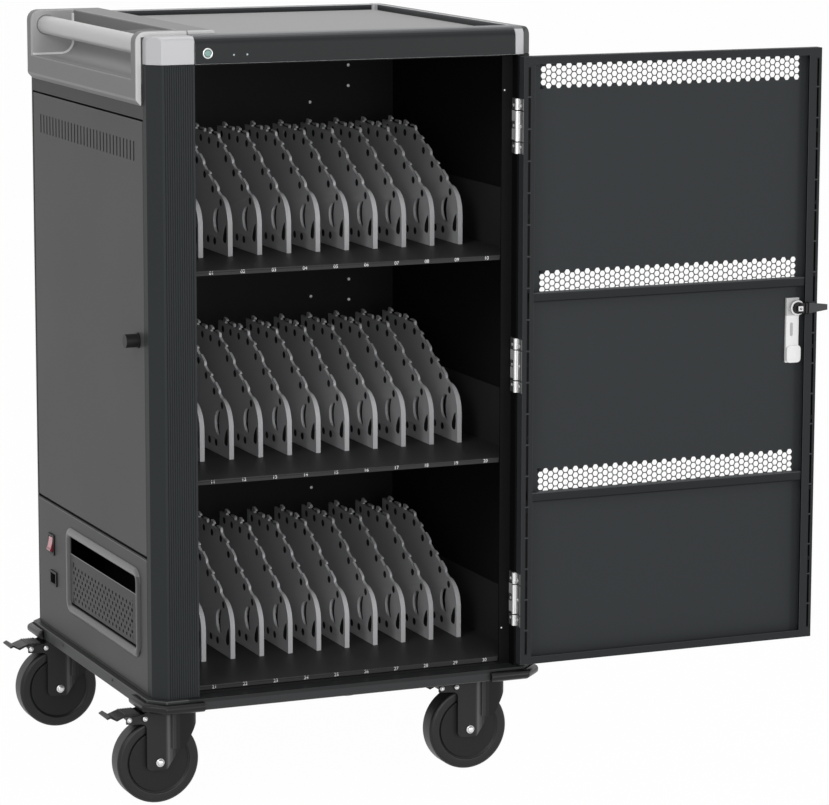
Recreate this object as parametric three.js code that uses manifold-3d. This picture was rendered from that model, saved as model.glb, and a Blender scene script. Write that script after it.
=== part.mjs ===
import * as THREE from 'three';
import { mergeVertices } from 'three/addons/utils/BufferGeometryUtils.js';
import Module from 'manifold-3d';

const wasm = await Module();
wasm.setup();

// Laptop charging cart, sizes in millimetres, front towards -Y, floor at Z = 0.

// Cabinet body
const bodyWidth = 632;
const bodyDepth = 613;
const cornerChamfer = 19;
const sheet = 3;
const seat = 0.3;
const play = 0.4;

// Heights above the floor
const baseBottom = 153;
const baseTop = 172;
const railBottom = 1147.5;
const railHeight = 43.5;
const trayDrop = 10;
const handleRise = 5;

// Base and bumpers
const baseOverhang = 10;
const baseSkirt = 6;
const basePlate = 6;
const bumperDepth = 10;
const bumperHeight = 16;
const bumperReach = 75;
const bumperTop = 168;

// Left post and the right door jamb
const postWidth = 71.3;
const postDepth = 33;
const postWall = 3;
const ribCount = 13;
const ribPitch = 3.6;
const ribDepth = 1.2;
const doorRecess = 19.5;
const jambWidth = 28;
const jambFlange = 46;

// Inner walls
const partitionLeft = 75;
const rearSpaceDepth = 49;
const rearSlotCount = 12;
const rearSlotPitch = 26;
const rearSlotWidth = 6;
const rearSlotLength = 60;
const rearSlotRise = 88;
const midFloorGap = 3;

// Shelves and dividers
const shelfLowest = 183.5;
const shelfPitch = 323.8;
const shelfSheet = 2.5;
const shelfFront = 24;
const shelfBackGap = 4;
const lipHeight = 7.5;
const upstand = 96;
const dividerCount = 10;
const firstBay = 51.5;
const lastBay = 45;
const dividerThick = 9;
const dividerSetback = 146;
const dividerBackGap = 72;
const dividerNose = 47;
const dividerTop = 170;
const dividerSlopeFrom = 42;
const dividerSlopeTo = 187;
const dividerBrow = 92.5;

// Front door, modelled swung open
const doorThick = 18;
const doorSkin = 1.5;
const bandHeights = [469.8, 786.6, 1113.1];
const bandHeight = 41;
const bandMargin = 16;
const bandMarginFree = 9;
const doorGapSide = 2.7;
const doorGapTop = 2.5;
const doorGapBottom = 1.1;
const doorFlangeHinge = 19;
const doorFlangeFree = 22;
const doorFlangeEnds = 12;
const hingeInset = 29;
const hingeY = -0.5;
const hingeSide = 3.3;
const doorRibHeights = [446.5, 766.5];
const doorRibHeight = 15;
const doorRibDepth = 13;

// Hinges
const hingeCentres = [281, 658, 1036];
const hingeHeight = 86;
const hingeLeaf = 1.2;
const hingeLeafReach = 18;
const knuckleRadius = 3.5;
const hingePinRadius = 1.6;
const knuckleShare = 48;

// Door latch
const latchInset = 33;
const latchHeight = 724;
const latchArmReach = 50;
const latchRing = 9;
const lockPlateWidth = 23;
const lockPlateHeight = 106;
const leverLength = 105;

// Side access door and its lock
const sideDoorBottom = 392;
const sideDoorTop = 1061;
const sideDoorGap = 3;
const panelGap = 4;
const sideDoorRearGap = 27;
const sideDoorPan = 16;
const sideHingeX = 8;
const sideHingeInset = 14;
const ventCount = 30;
const ventMarginFront = 43.2;
const ventMarginRear = 39.15;
const ventWidth = 5;
const ventBottom = 998;
const ventTop = 1028;
const sideLockInset = 30.7;
const sideLockHeight = 724;
const sideKnobRadius = 10.5;
const sideKnobReach = 22;
const sideCamReach = 32;

// Cable pocket, switch and inlet on the lower side panel
const bezelMarginFront = 33.7;
const bezelMarginRear = 150;
const bezelBottom = 222;
const bezelTop = 365;
const bezelWidth = 15;
const bezelProud = 3;
const pocketLip = 322;
const pocketFit = 0.5;
const pocketFoot = 4;
const pocketSheet = 2;
const switchInset = 66.5;
const switchHeight = 318;
const switchWidth = 30;
const switchTall = 34;
const inletInset = 76;
const inletHeight = 262;
const inletWidth = 34;
const inletTall = 24;

// Socket strips
const stripMargin = 80;
const stripRise = 236;
const stripDepth = 30;
const stripHeight = 44;
const socketCount = 6;
const socketWidth = 28;
const socketHeight = 24;
const socketDepth = 5;

// Side handle
const handleFront = 35;
const handleProud = 10;
const handleInner = 118;
const handleDrop = 113;
const cheek = 25;
const scoopDepth = 72;
const scoopWall = 62;
const scoopRound = 22;
const gripRadius = 15;
const gripX = 16;
const gripDrop = 24;
const gripSocket = 8;

// Control bar, rails and corner caps
const barRound = 16;
const capLeftWidth = 71;
const capRightWidth = 32;
const capLength = 40;
const railWidth = 28;
const buttonX = 91.9;
const buttonRise = 16.2;
const buttonRadius = 5;

// Casters
const wheelRadius = 66.5;
const wheelWidth = 36;
const wheelSides = 24;
const casterInsetX = 53.5;
const casterInsetY = 53;
const casterTrail = 38;
const casterPlateWidth = 92;
const casterPlateDepth = 72;
const casterPlate = 4;
const forkTop = 150;
const forkLeg = 3;
const forkGap = 3;
const forkBack = 21;
const forkFlank = 10;
const forkNose = 42;
const forkBottom = 12;
const forkCorner = 8;
const forkCrown = 10;
const forkHead = 22;
const forkHeadRise = 5;
const wheelClear = 2.5;
const pedalArm = 54;
const pedalArmDrop = 18;
const pedalHoleRadius = 2.6;
const axleRadius = 5;
const axleProud = 3;

// Derived places
const railTop = railBottom + railHeight;
const trayTop = railTop - trayDrop;
const handleTop = railTop + handleRise;
const bodyBottom = baseTop + seat;
const bodyTop = railBottom - seat;
const floorTop = bodyBottom + sheet;
const roofBottom = bodyTop - sheet;
const hingeX = bodyWidth - hingeInset;
const doorLeft = hingeX + hingeSide;
const doorWidth = hingeX - hingeSide - postWidth - doorGapSide;
const doorRight = doorLeft + doorWidth;
const doorBack = 2 * hingeY;
const doorFace = doorBack - doorThick;
const doorBottom = floorTop + doorGapBottom;
const doorTop = railBottom - doorGapTop;
const latchX = doorRight - latchInset;
const rightPostLeft = bodyWidth - jambWidth;
const panelFront = postDepth + 2.3;
const barDepth = handleFront - play;
const backWallFront = bodyDepth - rearSpaceDepth;
const midFloorTop = sideDoorBottom - midFloorGap;
const shelfBack = backWallFront - shelfBackGap;
const dividerFirst = partitionLeft + sheet + firstBay;
const dividerPitch = (bodyWidth - sheet - lastBay - dividerFirst) / (dividerCount - 1);
const dividerFront = shelfFront + dividerSetback;
const dividerBack = backWallFront - dividerBackGap;
const sideDoorRear = bodyDepth - sideDoorRearGap;
const sideHingeY = sideDoorRear - sideHingeInset;
const sideLockY = panelFront + sideLockInset;
const ventFirst = panelFront + ventMarginFront;
const ventPitch = (sideDoorRear - ventMarginRear - ventFirst) / (ventCount - 1);
const bezelFront = panelFront + bezelMarginFront;
const bezelRear = sideDoorRear - bezelMarginRear;
const switchY = sideDoorRear - switchInset;
const inletY = sideDoorRear - inletInset;
const handleRear = bodyDepth - railWidth;
const handleBottom = handleTop - handleDrop;
const scoopFloor = handleTop - scoopDepth;
const gripHeight = handleTop - gripDrop;
const capRight = bodyWidth - capRightWidth;
const buttonHeight = railBottom + buttonRise;

// Solid modelling helpers
function solid(geometry) {
  const bare = geometry.index ? geometry.toNonIndexed() : geometry;
  bare.deleteAttribute('normal');
  bare.deleteAttribute('uv');
  const welded = mergeVertices(bare, 1e-4);
  return new wasm.Manifold(new wasm.Mesh({
    numProp: 3,
    vertProperties: new Float32Array(welded.attributes.position.array),
    triVerts: new Uint32Array(welded.index.array),
  }));
}

function box(x0, x1, y0, y1, z0, z1) {
  const geometry = new THREE.BoxGeometry(x1 - x0, y1 - y0, z1 - z0);
  geometry.translate((x0 + x1) / 2, (y0 + y1) / 2, (z0 + z1) / 2);
  return solid(geometry);
}

function extruded(points, depth, holes) {
  const shape = new THREE.Shape(points.map(([u, v]) => new THREE.Vector2(u, v)));
  for (const hole of holes) {
    shape.holes.push(new THREE.Path(hole.map(([u, v]) => new THREE.Vector2(u, v))));
  }
  return new THREE.ExtrudeGeometry(shape, { depth, bevelEnabled: false, steps: 1 });
}

// Prisms along each axis, from an outline in the other two
function prismZ(points, z0, z1, holes = []) {
  const geometry = extruded(points, z1 - z0, holes);
  geometry.translate(0, 0, z0);
  return solid(geometry);
}

function prismY(points, y0, y1, holes = []) {
  const geometry = extruded(points, y1 - y0, holes);
  geometry.rotateX(Math.PI / 2);
  geometry.translate(0, y1, 0);
  return solid(geometry);
}

function prismX(points, x0, x1, holes = []) {
  const geometry = extruded(points, x1 - x0, holes);
  const turn = new THREE.Matrix4().makeBasis(
    new THREE.Vector3(0, 1, 0), new THREE.Vector3(0, 0, 1), new THREE.Vector3(1, 0, 0));
  geometry.applyMatrix4(turn);
  geometry.translate(x0, 0, 0);
  return solid(geometry);
}

function arc(cu, cv, radius, from, to, steps) {
  const points = [];
  for (let i = 0; i <= steps; i += 1) {
    const angle = THREE.MathUtils.degToRad(from + (to - from) * i / steps);
    points.push([cu + radius * Math.cos(angle), cv + radius * Math.sin(angle)]);
  }
  return points;
}

function disc(cu, cv, radius, sides) {
  return arc(cu, cv, radius, 0, 360 - 360 / sides, sides - 1);
}

function roundRect(u0, u1, v0, v1, radius, steps = 3) {
  return [
    ...arc(u1 - radius, v0 + radius, radius, -90, 0, steps),
    ...arc(u1 - radius, v1 - radius, radius, 0, 90, steps),
    ...arc(u0 + radius, v1 - radius, radius, 90, 180, steps),
    ...arc(u0 + radius, v0 + radius, radius, 180, 270, steps),
  ];
}

function chamferRect(x0, x1, y0, y1, c) {
  return [
    [x0 + c, y0], [x1 - c, y0], [x1, y0 + c], [x1, y1 - c],
    [x1 - c, y1], [x0 + c, y1], [x0, y1 - c], [x0, y0 + c],
  ];
}

// Sweep of an outline (out, up) along a level path with mitred corners
function sweep(profile, path) {
  const rings = path.map((point, i) => {
    const before = new THREE.Vector2().subVectors(point, path[Math.max(i - 1, 0)]);
    const after = new THREE.Vector2().subVectors(path[Math.min(i + 1, path.length - 1)], point);
    const d0 = (i === 0 ? after : before).normalize();
    const d1 = (i === path.length - 1 ? d0.clone() : after).normalize();
    const mitre = new THREE.Vector2(d0.y + d1.y, -d0.x - d1.x).normalize();
    const stretch = 1 / (mitre.x * d0.y - mitre.y * d0.x);
    return profile.map(([out, up]) => [
      point.x + mitre.x * out * stretch, point.y + mitre.y * out * stretch, up]);
  });
  const count = profile.length;
  const triangles = [];
  for (let r = 0; r < rings.length - 1; r += 1) {
    for (let i = 0; i < count; i += 1) {
      const j = (i + 1) % count;
      const [a, b, c, d] = [rings[r][i], rings[r][j], rings[r + 1][j], rings[r + 1][i]];
      triangles.push(a, c, b, a, d, c);
    }
  }
  const caps = THREE.ShapeUtils.triangulateShape(profile.map(([u, v]) => new THREE.Vector2(u, v)), []);
  const last = rings[rings.length - 1];
  for (const [a, b, c] of caps) {
    triangles.push(rings[0][a], rings[0][b], rings[0][c], last[a], last[c], last[b]);
  }
  const geometry = new THREE.BufferGeometry();
  geometry.setAttribute('position', new THREE.Float32BufferAttribute(triangles.flat(), 3));
  return solid(geometry);
}

function union(parts) {
  return parts.reduce((sum, part) => sum.add(part));
}

function cut(body, cutters) {
  return cutters.reduce((rest, cutter) => rest.subtract(cutter), body);
}

const cart = new THREE.Group();
cart.name = 'laptop_charging_cart';

function place(name, body, color, metalness = 0, roughness = 0.6) {
  const mesh = body.getMesh();
  const geometry = new THREE.BufferGeometry();
  const positions = new THREE.Float32BufferAttribute(mesh.vertProperties, mesh.numProp);
  geometry.setAttribute('position', positions);
  geometry.setIndex(new THREE.Uint32BufferAttribute(mesh.triVerts, 1));
  const material = new THREE.MeshStandardMaterial({ color, metalness, roughness });
  const item = new THREE.Mesh(geometry, material);
  item.name = name;
  cart.add(item);
}

const CHARCOAL = 0x3a3c3e;
const SIDE_GREY = 0x585858;
const SILVER = 0xd2d2d4;
const HANDLE_GREY = 0x9a9a9a;
const BLACK = 0x1c1c1c;
const STEEL = 0xc8c8c8;

// Base frame: a chamfered pan with a ledge all round the cabinet
const baseOut = -baseOverhang;
const baseChamfer = cornerChamfer + 5;
const baseRight = bodyWidth + baseOverhang;
const baseBack = bodyDepth + baseOverhang;
const baseUnder = baseTop - basePlate;
place('base_frame', cut(
  prismZ(chamferRect(baseOut, baseRight, baseOut, baseBack, baseChamfer), baseBottom, baseTop),
  [prismZ(chamferRect(baseOut + baseSkirt, baseRight - baseSkirt, baseOut + baseSkirt,
    baseBack - baseSkirt, baseChamfer), baseBottom - 1, baseUnder)],
), CHARCOAL, 0.3, 0.5);

// Corner bumpers: half-round strips mitred round the base corners
const bumperBottom = bumperTop - bumperHeight;
const bumperCorner = bumperHeight * 0.3;
const bumperProfile = [
  [seat, bumperBottom],
  [bumperDepth - bumperCorner, bumperBottom],
  [bumperDepth, bumperBottom + bumperCorner],
  [bumperDepth, bumperTop - bumperCorner],
  [bumperDepth - bumperCorner, bumperTop],
  [seat, bumperTop],
];
for (const [name, cornerX, cornerY] of [
  ['bumper_front_left', baseOut, baseOut],
  ['bumper_front_right', baseRight, baseOut],
  ['bumper_rear_right', baseRight, baseBack],
  ['bumper_rear_left', baseOut, baseBack],
]) {
  const inX = cornerX < 0 ? 1 : -1;
  const inY = cornerY < 0 ? 1 : -1;
  const path = [
    new THREE.Vector2(cornerX, cornerY + inY * (bumperReach + baseOverhang)),
    new THREE.Vector2(cornerX, cornerY + inY * baseChamfer),
    new THREE.Vector2(cornerX + inX * baseChamfer, cornerY),
    new THREE.Vector2(cornerX + inX * (bumperReach + baseOverhang), cornerY),
  ];
  place(name, sweep(bumperProfile, inX === inY ? path : path.reverse()), BLACK, 0, 0.8);
}

// Cabinet shell: one folded carcass with shelf space, side and rear wiring compartments
const rearInner = bodyDepth - sheet - 1;
const wallLeft = partitionLeft + sheet;
const wallRight = bodyWidth - sheet;
const slope = rearInner - 17.5;
const leftSpace = [
  [sheet, panelFront - play],
  [partitionLeft, panelFront - play],
  [partitionLeft, rearInner],
  [sheet + 17.5, rearInner],
  [sheet, slope],
];
const rearSpace = [
  [partitionLeft - 1, backWallFront + sheet],
  [wallRight, backWallFront + sheet],
  [wallRight, slope],
  [wallRight - 17.5, rearInner],
  [partitionLeft - 1, rearInner],
];
const panelRear = sideDoorRear + 3.5;
const shellCuts = [
  box(-1, postWidth + play, -1, postDepth + play, bodyBottom - 1, bodyTop + 1),
  box(postWidth, rightPostLeft, -1, doorRecess, bodyBottom - 1, bodyTop + 1),
  box(wallLeft, wallRight, doorRecess + sheet, backWallFront, floorTop, roofBottom),
  box(postWidth, bodyWidth - jambFlange, doorRecess - 1, postDepth + play, floorTop, roofBottom),
  prismZ(leftSpace, floorTop, midFloorTop - sheet),
  prismZ(leftSpace, midFloorTop, roofBottom),
  prismZ(rearSpace, floorTop, roofBottom),
  box(-1, sheet + 1, panelFront - play, panelRear, floorTop, sideDoorTop + sideDoorGap),
  box(-1, scoopWall + 8 + play, handleFront - play, handleRear + play, scoopFloor - 8 - play, bodyTop + 1),
  box(12, 26, postDepth, postDepth + sheet + 1, sideLockHeight - 10, sideLockHeight + 24),
  prismZ(disc(sideHingeX, sideHingeY, 3 + play, 12), midFloorTop - sheet - 1, midFloorTop + 1),
];
for (const centre of hingeCentres) {
  shellCuts.push(prismZ(disc(hingeX, hingeY, knuckleRadius + 0.7, 16),
    centre - hingeHeight / 2 - 1, centre + hingeHeight / 2 + 1));
}
// Cooling slots low and high in the rear panel
for (let i = 0; i < rearSlotCount; i += 1) {
  const x = bodyWidth / 2 + (i - (rearSlotCount - 1) / 2) * rearSlotPitch;
  for (const z of [baseTop + rearSlotRise, railBottom - rearSlotRise - rearSlotLength]) {
    shellCuts.push(box(x - rearSlotWidth / 2, x + rearSlotWidth / 2, rearInner - 1, bodyDepth + 1,
      z, z + rearSlotLength));
  }
}
const shellBody = cut(
  prismZ(chamferRect(0, bodyWidth, 0, bodyDepth, cornerChamfer), bodyBottom, bodyTop), shellCuts);
// Bracket that carries the upper pin of the side door
const sideBracket = cut(
  box(sheet - 0.5, 18, sideHingeY - 12, panelRear + 2, sideDoorTop + 2, sideDoorTop + 10),
  [prismZ(disc(sideHingeX, sideHingeY, 3 + play, 12), sideDoorTop, sideDoorTop + 12)]);
place('cabinet_shell', shellBody.add(sideBracket), CHARCOAL, 0.3, 0.5);

// Front left post: hollow ribbed extrusion with a chamfered corner
const postOutline = [[0, cornerChamfer], [cornerChamfer, 0]];
for (let i = 0; i < ribCount; i += 1) {
  const x = cornerChamfer + 4 + i * ribPitch;
  postOutline.push([x, 0], [x + 0.8, ribDepth], [x + 1.6, 0]);
}
postOutline.push([postWidth, 0], [postWidth, postDepth], [0, postDepth]);
const postBore = [
  [postWall, cornerChamfer + 1.5], [cornerChamfer + 1.5, postWall], [postWidth - postWall, postWall],
  [postWidth - postWall, postDepth - postWall], [postWall, postDepth - postWall],
];
place('front_left_post', prismZ(postOutline, bodyBottom, bodyTop, [postBore]), CHARCOAL, 0.4, 0.45);

// Shelves: plate, folded lip, side upstands and a row of hooked dividers, one pressing each
const dividerDepth = dividerBack - dividerFront;
const hooks = [52, 87, 118, 152, 182, 216, 248, 282];
function dividerEdge(y) {
  if (y > dividerSlopeTo) return dividerTop + 3 * (y - dividerSlopeTo) / (dividerDepth - dividerSlopeTo);
  return dividerBrow + (dividerTop - dividerBrow) * (y - dividerSlopeFrom) / (dividerSlopeTo - dividerSlopeFrom);
}
// Fingers lean over the edge by turns, to the rear and to the front, so that each pair holds a cable
function hookOutline(y, toRear) {
  const at = (back, rise) => [y + back, dividerEdge(y + back) + rise];
  if (toRear) return [at(0, 0), at(0, 8), at(3, 9.5), at(20, 7.5), at(20, 3.2), at(5, 3.2), at(5, 0)];
  const level = dividerEdge(y);
  return [at(7, 0), [y + 7, level + 6], [y, level + 6], [y + 1, level + 11], [y + 12, level + 13.5], at(17, 0)];
}
function dividerOutline(surface) {
  const points = [[0, 0]];
  for (let i = 0; i <= 4; i += 1) {
    const angle = Math.PI / 2 * i / 4;
    points.push([dividerSlopeFrom * (1 - Math.cos(angle)),
      dividerNose + (dividerBrow - dividerNose) * Math.sin(angle)]);
  }
  hooks.forEach((y, i) => points.push(...hookOutline(y, i % 2 === 0)));
  points.push([dividerDepth, dividerEdge(dividerDepth)], [dividerDepth, 0]);
  return points.map(([y, z]) => [dividerFront + y, surface - 0.5 + z]);
}
function dividerHoles(surface) {
  const drop = [[10, 20], [19, 19.5], [25.5, 22], [24, 31], [8, 49], [6.5, 35]];
  const crescent = [[48, 32], [66, 35], [72, 50], [65, 64], [47, 70], [52, 51]];
  return [drop, crescent].map((list) => list.map(([y, z]) => [dividerFront + y, surface - 0.5 + z]));
}
['shelf_lower', 'shelf_middle', 'shelf_upper'].forEach((name, k) => {
  const surface = shelfLowest + k * shelfPitch;
  const left = wallLeft + seat;
  const right = wallRight - seat;
  const parts = [
    box(left, right, postDepth + 1, shelfBack, surface - shelfSheet, surface),
    box(wallLeft + seat, right, shelfFront, postDepth + 2, surface - shelfSheet, surface),
    box(wallLeft + seat, bodyWidth - jambFlange, shelfFront, shelfFront + shelfSheet,
      surface - lipHeight, surface),
    box(left, left + shelfSheet, postDepth + 1, shelfBack, surface - shelfSheet, surface + upstand),
    box(right - shelfSheet, right, postDepth + 1, shelfBack, surface - shelfSheet, surface + upstand),
  ];
  for (let i = 0; i < dividerCount; i += 1) {
    const x = dividerFirst + i * dividerPitch;
    parts.push(prismX(dividerOutline(surface), x - dividerThick / 2, x + dividerThick / 2,
      dividerHoles(surface)));
  }
  place(name, union(parts), 0x4a4a4c, 0.2, 0.6);
});

// Top tray: shallow pan between the rails and the handle
place('top_tray', cut(
  box(handleInner + play, rightPostLeft - play, barDepth + play, bodyDepth - railWidth - play, railBottom, trayTop),
  [box(handleInner + 4, rightPostLeft - 4, barDepth + 4, bodyDepth - railWidth - 4,
    railBottom - 1, trayTop - sheet)],
), 0xa8a8a8, 0.1, 0.5);

// Rounded rail sections, front bar across X and side rail across Y
const barProfile = [
  [0, railBottom], [barDepth, railBottom], [barDepth, railTop],
  ...arc(barRound, railTop - barRound, barRound, 90, 180, 6),
];
const buttonHole = prismY(disc(buttonX, buttonHeight, buttonRadius + play, 20), -1, 9);
place('control_bar', cut(prismX(barProfile, capLeftWidth + play, capRight - play), [buttonHole]),
  CHARCOAL, 0.1, 0.5);
const rightProfile = [
  [rightPostLeft, railBottom], [bodyWidth, railBottom],
  ...arc(bodyWidth - barRound, railTop - barRound, barRound, 0, 90, 6),
  [rightPostLeft, railTop],
];
place('rail_right', prismY(rightProfile, capLength + play, bodyDepth - capLength - play), CHARCOAL, 0.1, 0.5);
const rearRail = bodyDepth - railWidth;
const rearProfile = [
  [rearRail, railBottom], [bodyDepth, railBottom],
  ...arc(bodyDepth - barRound, railTop - barRound, barRound, 0, 90, 6),
  [rearRail, railTop],
];

// Silver corner caps, rounded over both outer edges
const roundAcrossX = prismY([
  [bodyWidth - 100, railBottom], [bodyWidth, railBottom],
  ...arc(bodyWidth - barRound, railTop - barRound, barRound, 0, 90, 6), [bodyWidth - 100, railTop],
], -1, bodyDepth + 1);
const roundFront = prismX([[0, railBottom], [100, railBottom], [100, railTop],
  ...arc(barRound, railTop - barRound, barRound, 90, 180, 6)], -1, bodyWidth + 1);
const roundRear = prismX([[bodyDepth - 100, railBottom], [bodyDepth, railBottom],
  ...arc(bodyDepth - barRound, railTop - barRound, barRound, 0, 90, 6), [bodyDepth - 100, railTop]],
-1, bodyWidth + 1);
const frontRightPlan = [
  [capRight, 0], [bodyWidth - cornerChamfer, 0], [bodyWidth, cornerChamfer], [bodyWidth, capLength],
  [rightPostLeft, capLength], [rightPostLeft, barDepth], [capRight, barDepth],
];
place('corner_cap_front_right', prismZ(frontRightPlan, railBottom, railTop)
  .intersect(roundAcrossX).intersect(roundFront), SILVER, 0.6, 0.35);
const rearRightPlan = [
  [capRight, bodyDepth], [capRight, rearRail], [rightPostLeft, rearRail],
  [rightPostLeft, bodyDepth - capLength], [bodyWidth, bodyDepth - capLength],
  [bodyWidth, bodyDepth - cornerChamfer], [bodyWidth - cornerChamfer, bodyDepth],
];
place('corner_cap_rear_right', prismZ(rearRightPlan, railBottom, railTop)
  .intersect(roundAcrossX).intersect(roundRear), SILVER, 0.6, 0.35);
const capRound = 8;
const capTop = railTop - 1;
const roundLeft = prismY([[100, railBottom], [100, capTop],
  ...arc(capRound, capTop - capRound, capRound, 90, 180, 4), [0, railBottom]], -1, bodyDepth + 1);
const capFront = prismX([[0, railBottom], [100, railBottom], [100, capTop],
  ...arc(capRound, capTop - capRound, capRound, 90, 180, 4)], -1, bodyWidth);
const frontLeftPlan = [
  [0, cornerChamfer], [cornerChamfer, 0], [capLeftWidth, 0], [capLeftWidth, barDepth], [0, barDepth],
];
place('corner_cap_front_left', prismZ(frontLeftPlan, railBottom, capTop)
  .intersect(roundLeft).intersect(capFront), SILVER, 0.6, 0.35);
// Rear rail, running into the rear left corner behind the handle
const rearLeftPlan = [
  [0, handleRear + play], [capRight - play, handleRear + play], [capRight - play, bodyDepth],
  [cornerChamfer, bodyDepth], [0, bodyDepth - cornerChamfer],
];
place('rail_rear', prismZ(rearLeftPlan, railBottom, capTop)
  .intersect(roundLeft.add(prismX(rearProfile, 50, capRight))).intersect(roundRear), CHARCOAL, 0.1, 0.5);

// Side handle housing: scooped hand recess between two cheeks
const housingOutline = [
  [-handleProud, handleBottom + 10], [-play, handleBottom], [-play, scoopFloor - 8],
  [scoopWall + 8, scoopFloor - 8], [scoopWall + 8, railBottom], [handleInner, railBottom],
  ...arc(handleInner - 6, handleTop - 6, 6, 0, 90, 3),
  ...arc(-handleProud + 16, handleTop - 16, 16, 90, 180, 5),
];
const scoop = [
  [-handleProud - 1, scoopFloor + 1], [-handleProud + 4, scoopFloor],
  ...arc(scoopWall - scoopRound, scoopFloor + scoopRound, scoopRound, -90, 0, 5),
  [scoopWall, handleTop + 1], [-handleProud - 1, handleTop + 1],
];
const gripAxis = (radius, y0, y1) => prismY(disc(gripX, gripHeight, radius, 24), y0, y1);
const cheekFront = handleFront + cheek;
const cheekRear = handleRear - cheek;
place('handle_housing', cut(prismY(housingOutline, handleFront, handleRear), [
  prismY(scoop, cheekFront, cheekRear),
  gripAxis(gripRadius + seat, cheekFront - gripSocket - seat, cheekRear + gripSocket + seat),
]), HANDLE_GREY, 0, 0.6);
place('handle_grip', gripAxis(gripRadius, cheekFront - gripSocket, cheekRear + gripSocket),
  0xb4b4b4, 0, 0.55);

// Side access door: vented pan on two pins at its rear edge
const sideDoorCuts = [
  box(sheet - 1, sideDoorPan + 1, panelFront + 2, sideDoorRear - 2, sideDoorBottom + 2, sideDoorTop - 2),
  prismX(disc(sideLockY, sideLockHeight, 6.5, 16), -1, sheet),
];
for (let i = 0; i < ventCount; i += 1) {
  const y = ventFirst + i * ventPitch;
  sideDoorCuts.push(box(-1, sheet, y - ventWidth / 2, y + ventWidth / 2, ventBottom, ventTop));
}
const sidePins = [[sideDoorBottom, -1], [sideDoorTop, 1]].map(([z, way]) => {
  const boss = prismZ(disc(sideHingeX, sideHingeY, 7, 16), Math.min(z, z - way * 12), Math.max(z, z - way * 12));
  const pin = prismZ(disc(sideHingeX, sideHingeY, 3, 12), Math.min(z - way, z + way * 6),
    Math.max(z - way, z + way * 6));
  return boss.add(pin).add(box(1, sideHingeX, sideHingeY - 4, sideHingeY + 4,
    Math.min(z, z - way * 12), Math.max(z, z - way * 12)));
});
place('side_access_door', union([
  cut(box(0, sideDoorPan, panelFront, sideDoorRear, sideDoorBottom, sideDoorTop), sideDoorCuts),
  ...sidePins,
]), SIDE_GREY, 0.3, 0.5);

// Side lock: round knob outside, cam on the same spindle inside
place('side_lock_knob', union([
  prismX(disc(sideLockY, sideLockHeight, 12, 24), -3, -seat),
  prismX(disc(sideLockY, sideLockHeight, sideKnobRadius, 24), -sideKnobReach, -2),
  prismX(disc(sideLockY, sideLockHeight, 6, 16), -1, sideDoorPan + 1),
]), SILVER, 0.8, 0.3);
const camStart = sideDoorPan + 1 + seat;
place('side_lock_cam', prismX([
  ...arc(sideLockY, sideLockHeight, 9, 180, 360, 8),
  [sideLockY + 6, sideLockHeight + sideCamReach], [sideLockY - 6, sideLockHeight + sideCamReach],
], camStart, camStart + 3), STEEL, 0.8, 0.35);

// Lower side panel with openings for the pocket, switch and inlet
const pocketFront = bezelFront + bezelWidth;
const pocketRear = bezelRear - bezelWidth;
const pocketBottom = bezelBottom + bezelWidth;
const pocketTop = bezelTop - bezelWidth;
const frameFit = 2;
place('lower_side_panel', cut(
  box(0, sheet - 0.5, panelFront, panelRear - play, floorTop + play, sideDoorBottom - panelGap), [
    prismX(roundRect(pocketFront, pocketRear, pocketBottom, pocketTop, 6), -1, sheet + 1),
    box(-1, sheet + 1, switchY - switchWidth / 2 + frameFit, switchY + switchWidth / 2 - frameFit,
      switchHeight - switchTall / 2 + frameFit, switchHeight + switchTall / 2 - frameFit),
    box(-1, sheet + 1, inletY - inletWidth / 2 + frameFit, inletY + inletWidth / 2 - frameFit,
      inletHeight - inletTall / 2 + frameFit, inletHeight + inletTall / 2 - frameFit),
  ]), SIDE_GREY, 0.3, 0.5);
place('pocket_bezel', prismX(
  roundRect(bezelFront, bezelRear, bezelBottom, bezelTop, 16, 4), -bezelProud, -seat,
  [roundRect(pocketFront, pocketRear, pocketBottom, pocketTop, 6).reverse()]), 0x7a7a7a, 0.1, 0.5);
place('pocket_panel', box(-seat, pocketSheet - seat, pocketFront + pocketFit, pocketRear - pocketFit,
  pocketBottom + pocketFoot, pocketLip), SIDE_GREY, 0.3, 0.5);

// Mains switch: frame, and a rocker that leans to its off side
const switchFrame = cut(union([
  box(-2.5, -seat, switchY - switchWidth / 2, switchY + switchWidth / 2,
    switchHeight - switchTall / 2, switchHeight + switchTall / 2),
  box(-1, 22, switchY - switchWidth / 2 + frameFit + play, switchY + switchWidth / 2 - frameFit - play,
    switchHeight - switchTall / 2 + frameFit + play, switchHeight + switchTall / 2 - frameFit - play),
]), [box(-4, 14, switchY - 10.8, switchY + 10.8, switchHeight - 12.9, switchHeight + 12.9)]);
place('switch_frame', switchFrame, BLACK, 0, 0.5);
const rockerLean = THREE.MathUtils.degToRad(7);
const rockerOutline = [
  [-5.5, -11.5], [4, -10], [9, 0], [4, 10], [-5.5, 11.5], [-3, 0],
].map(([u, v]) => [
  2 + u * Math.cos(rockerLean) + v * Math.sin(rockerLean),
  switchHeight - u * Math.sin(rockerLean) + v * Math.cos(rockerLean),
]);
place('rocker_switch', prismY(rockerOutline, switchY - 10, switchY + 10), 0xb01818, 0, 0.35);

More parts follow.
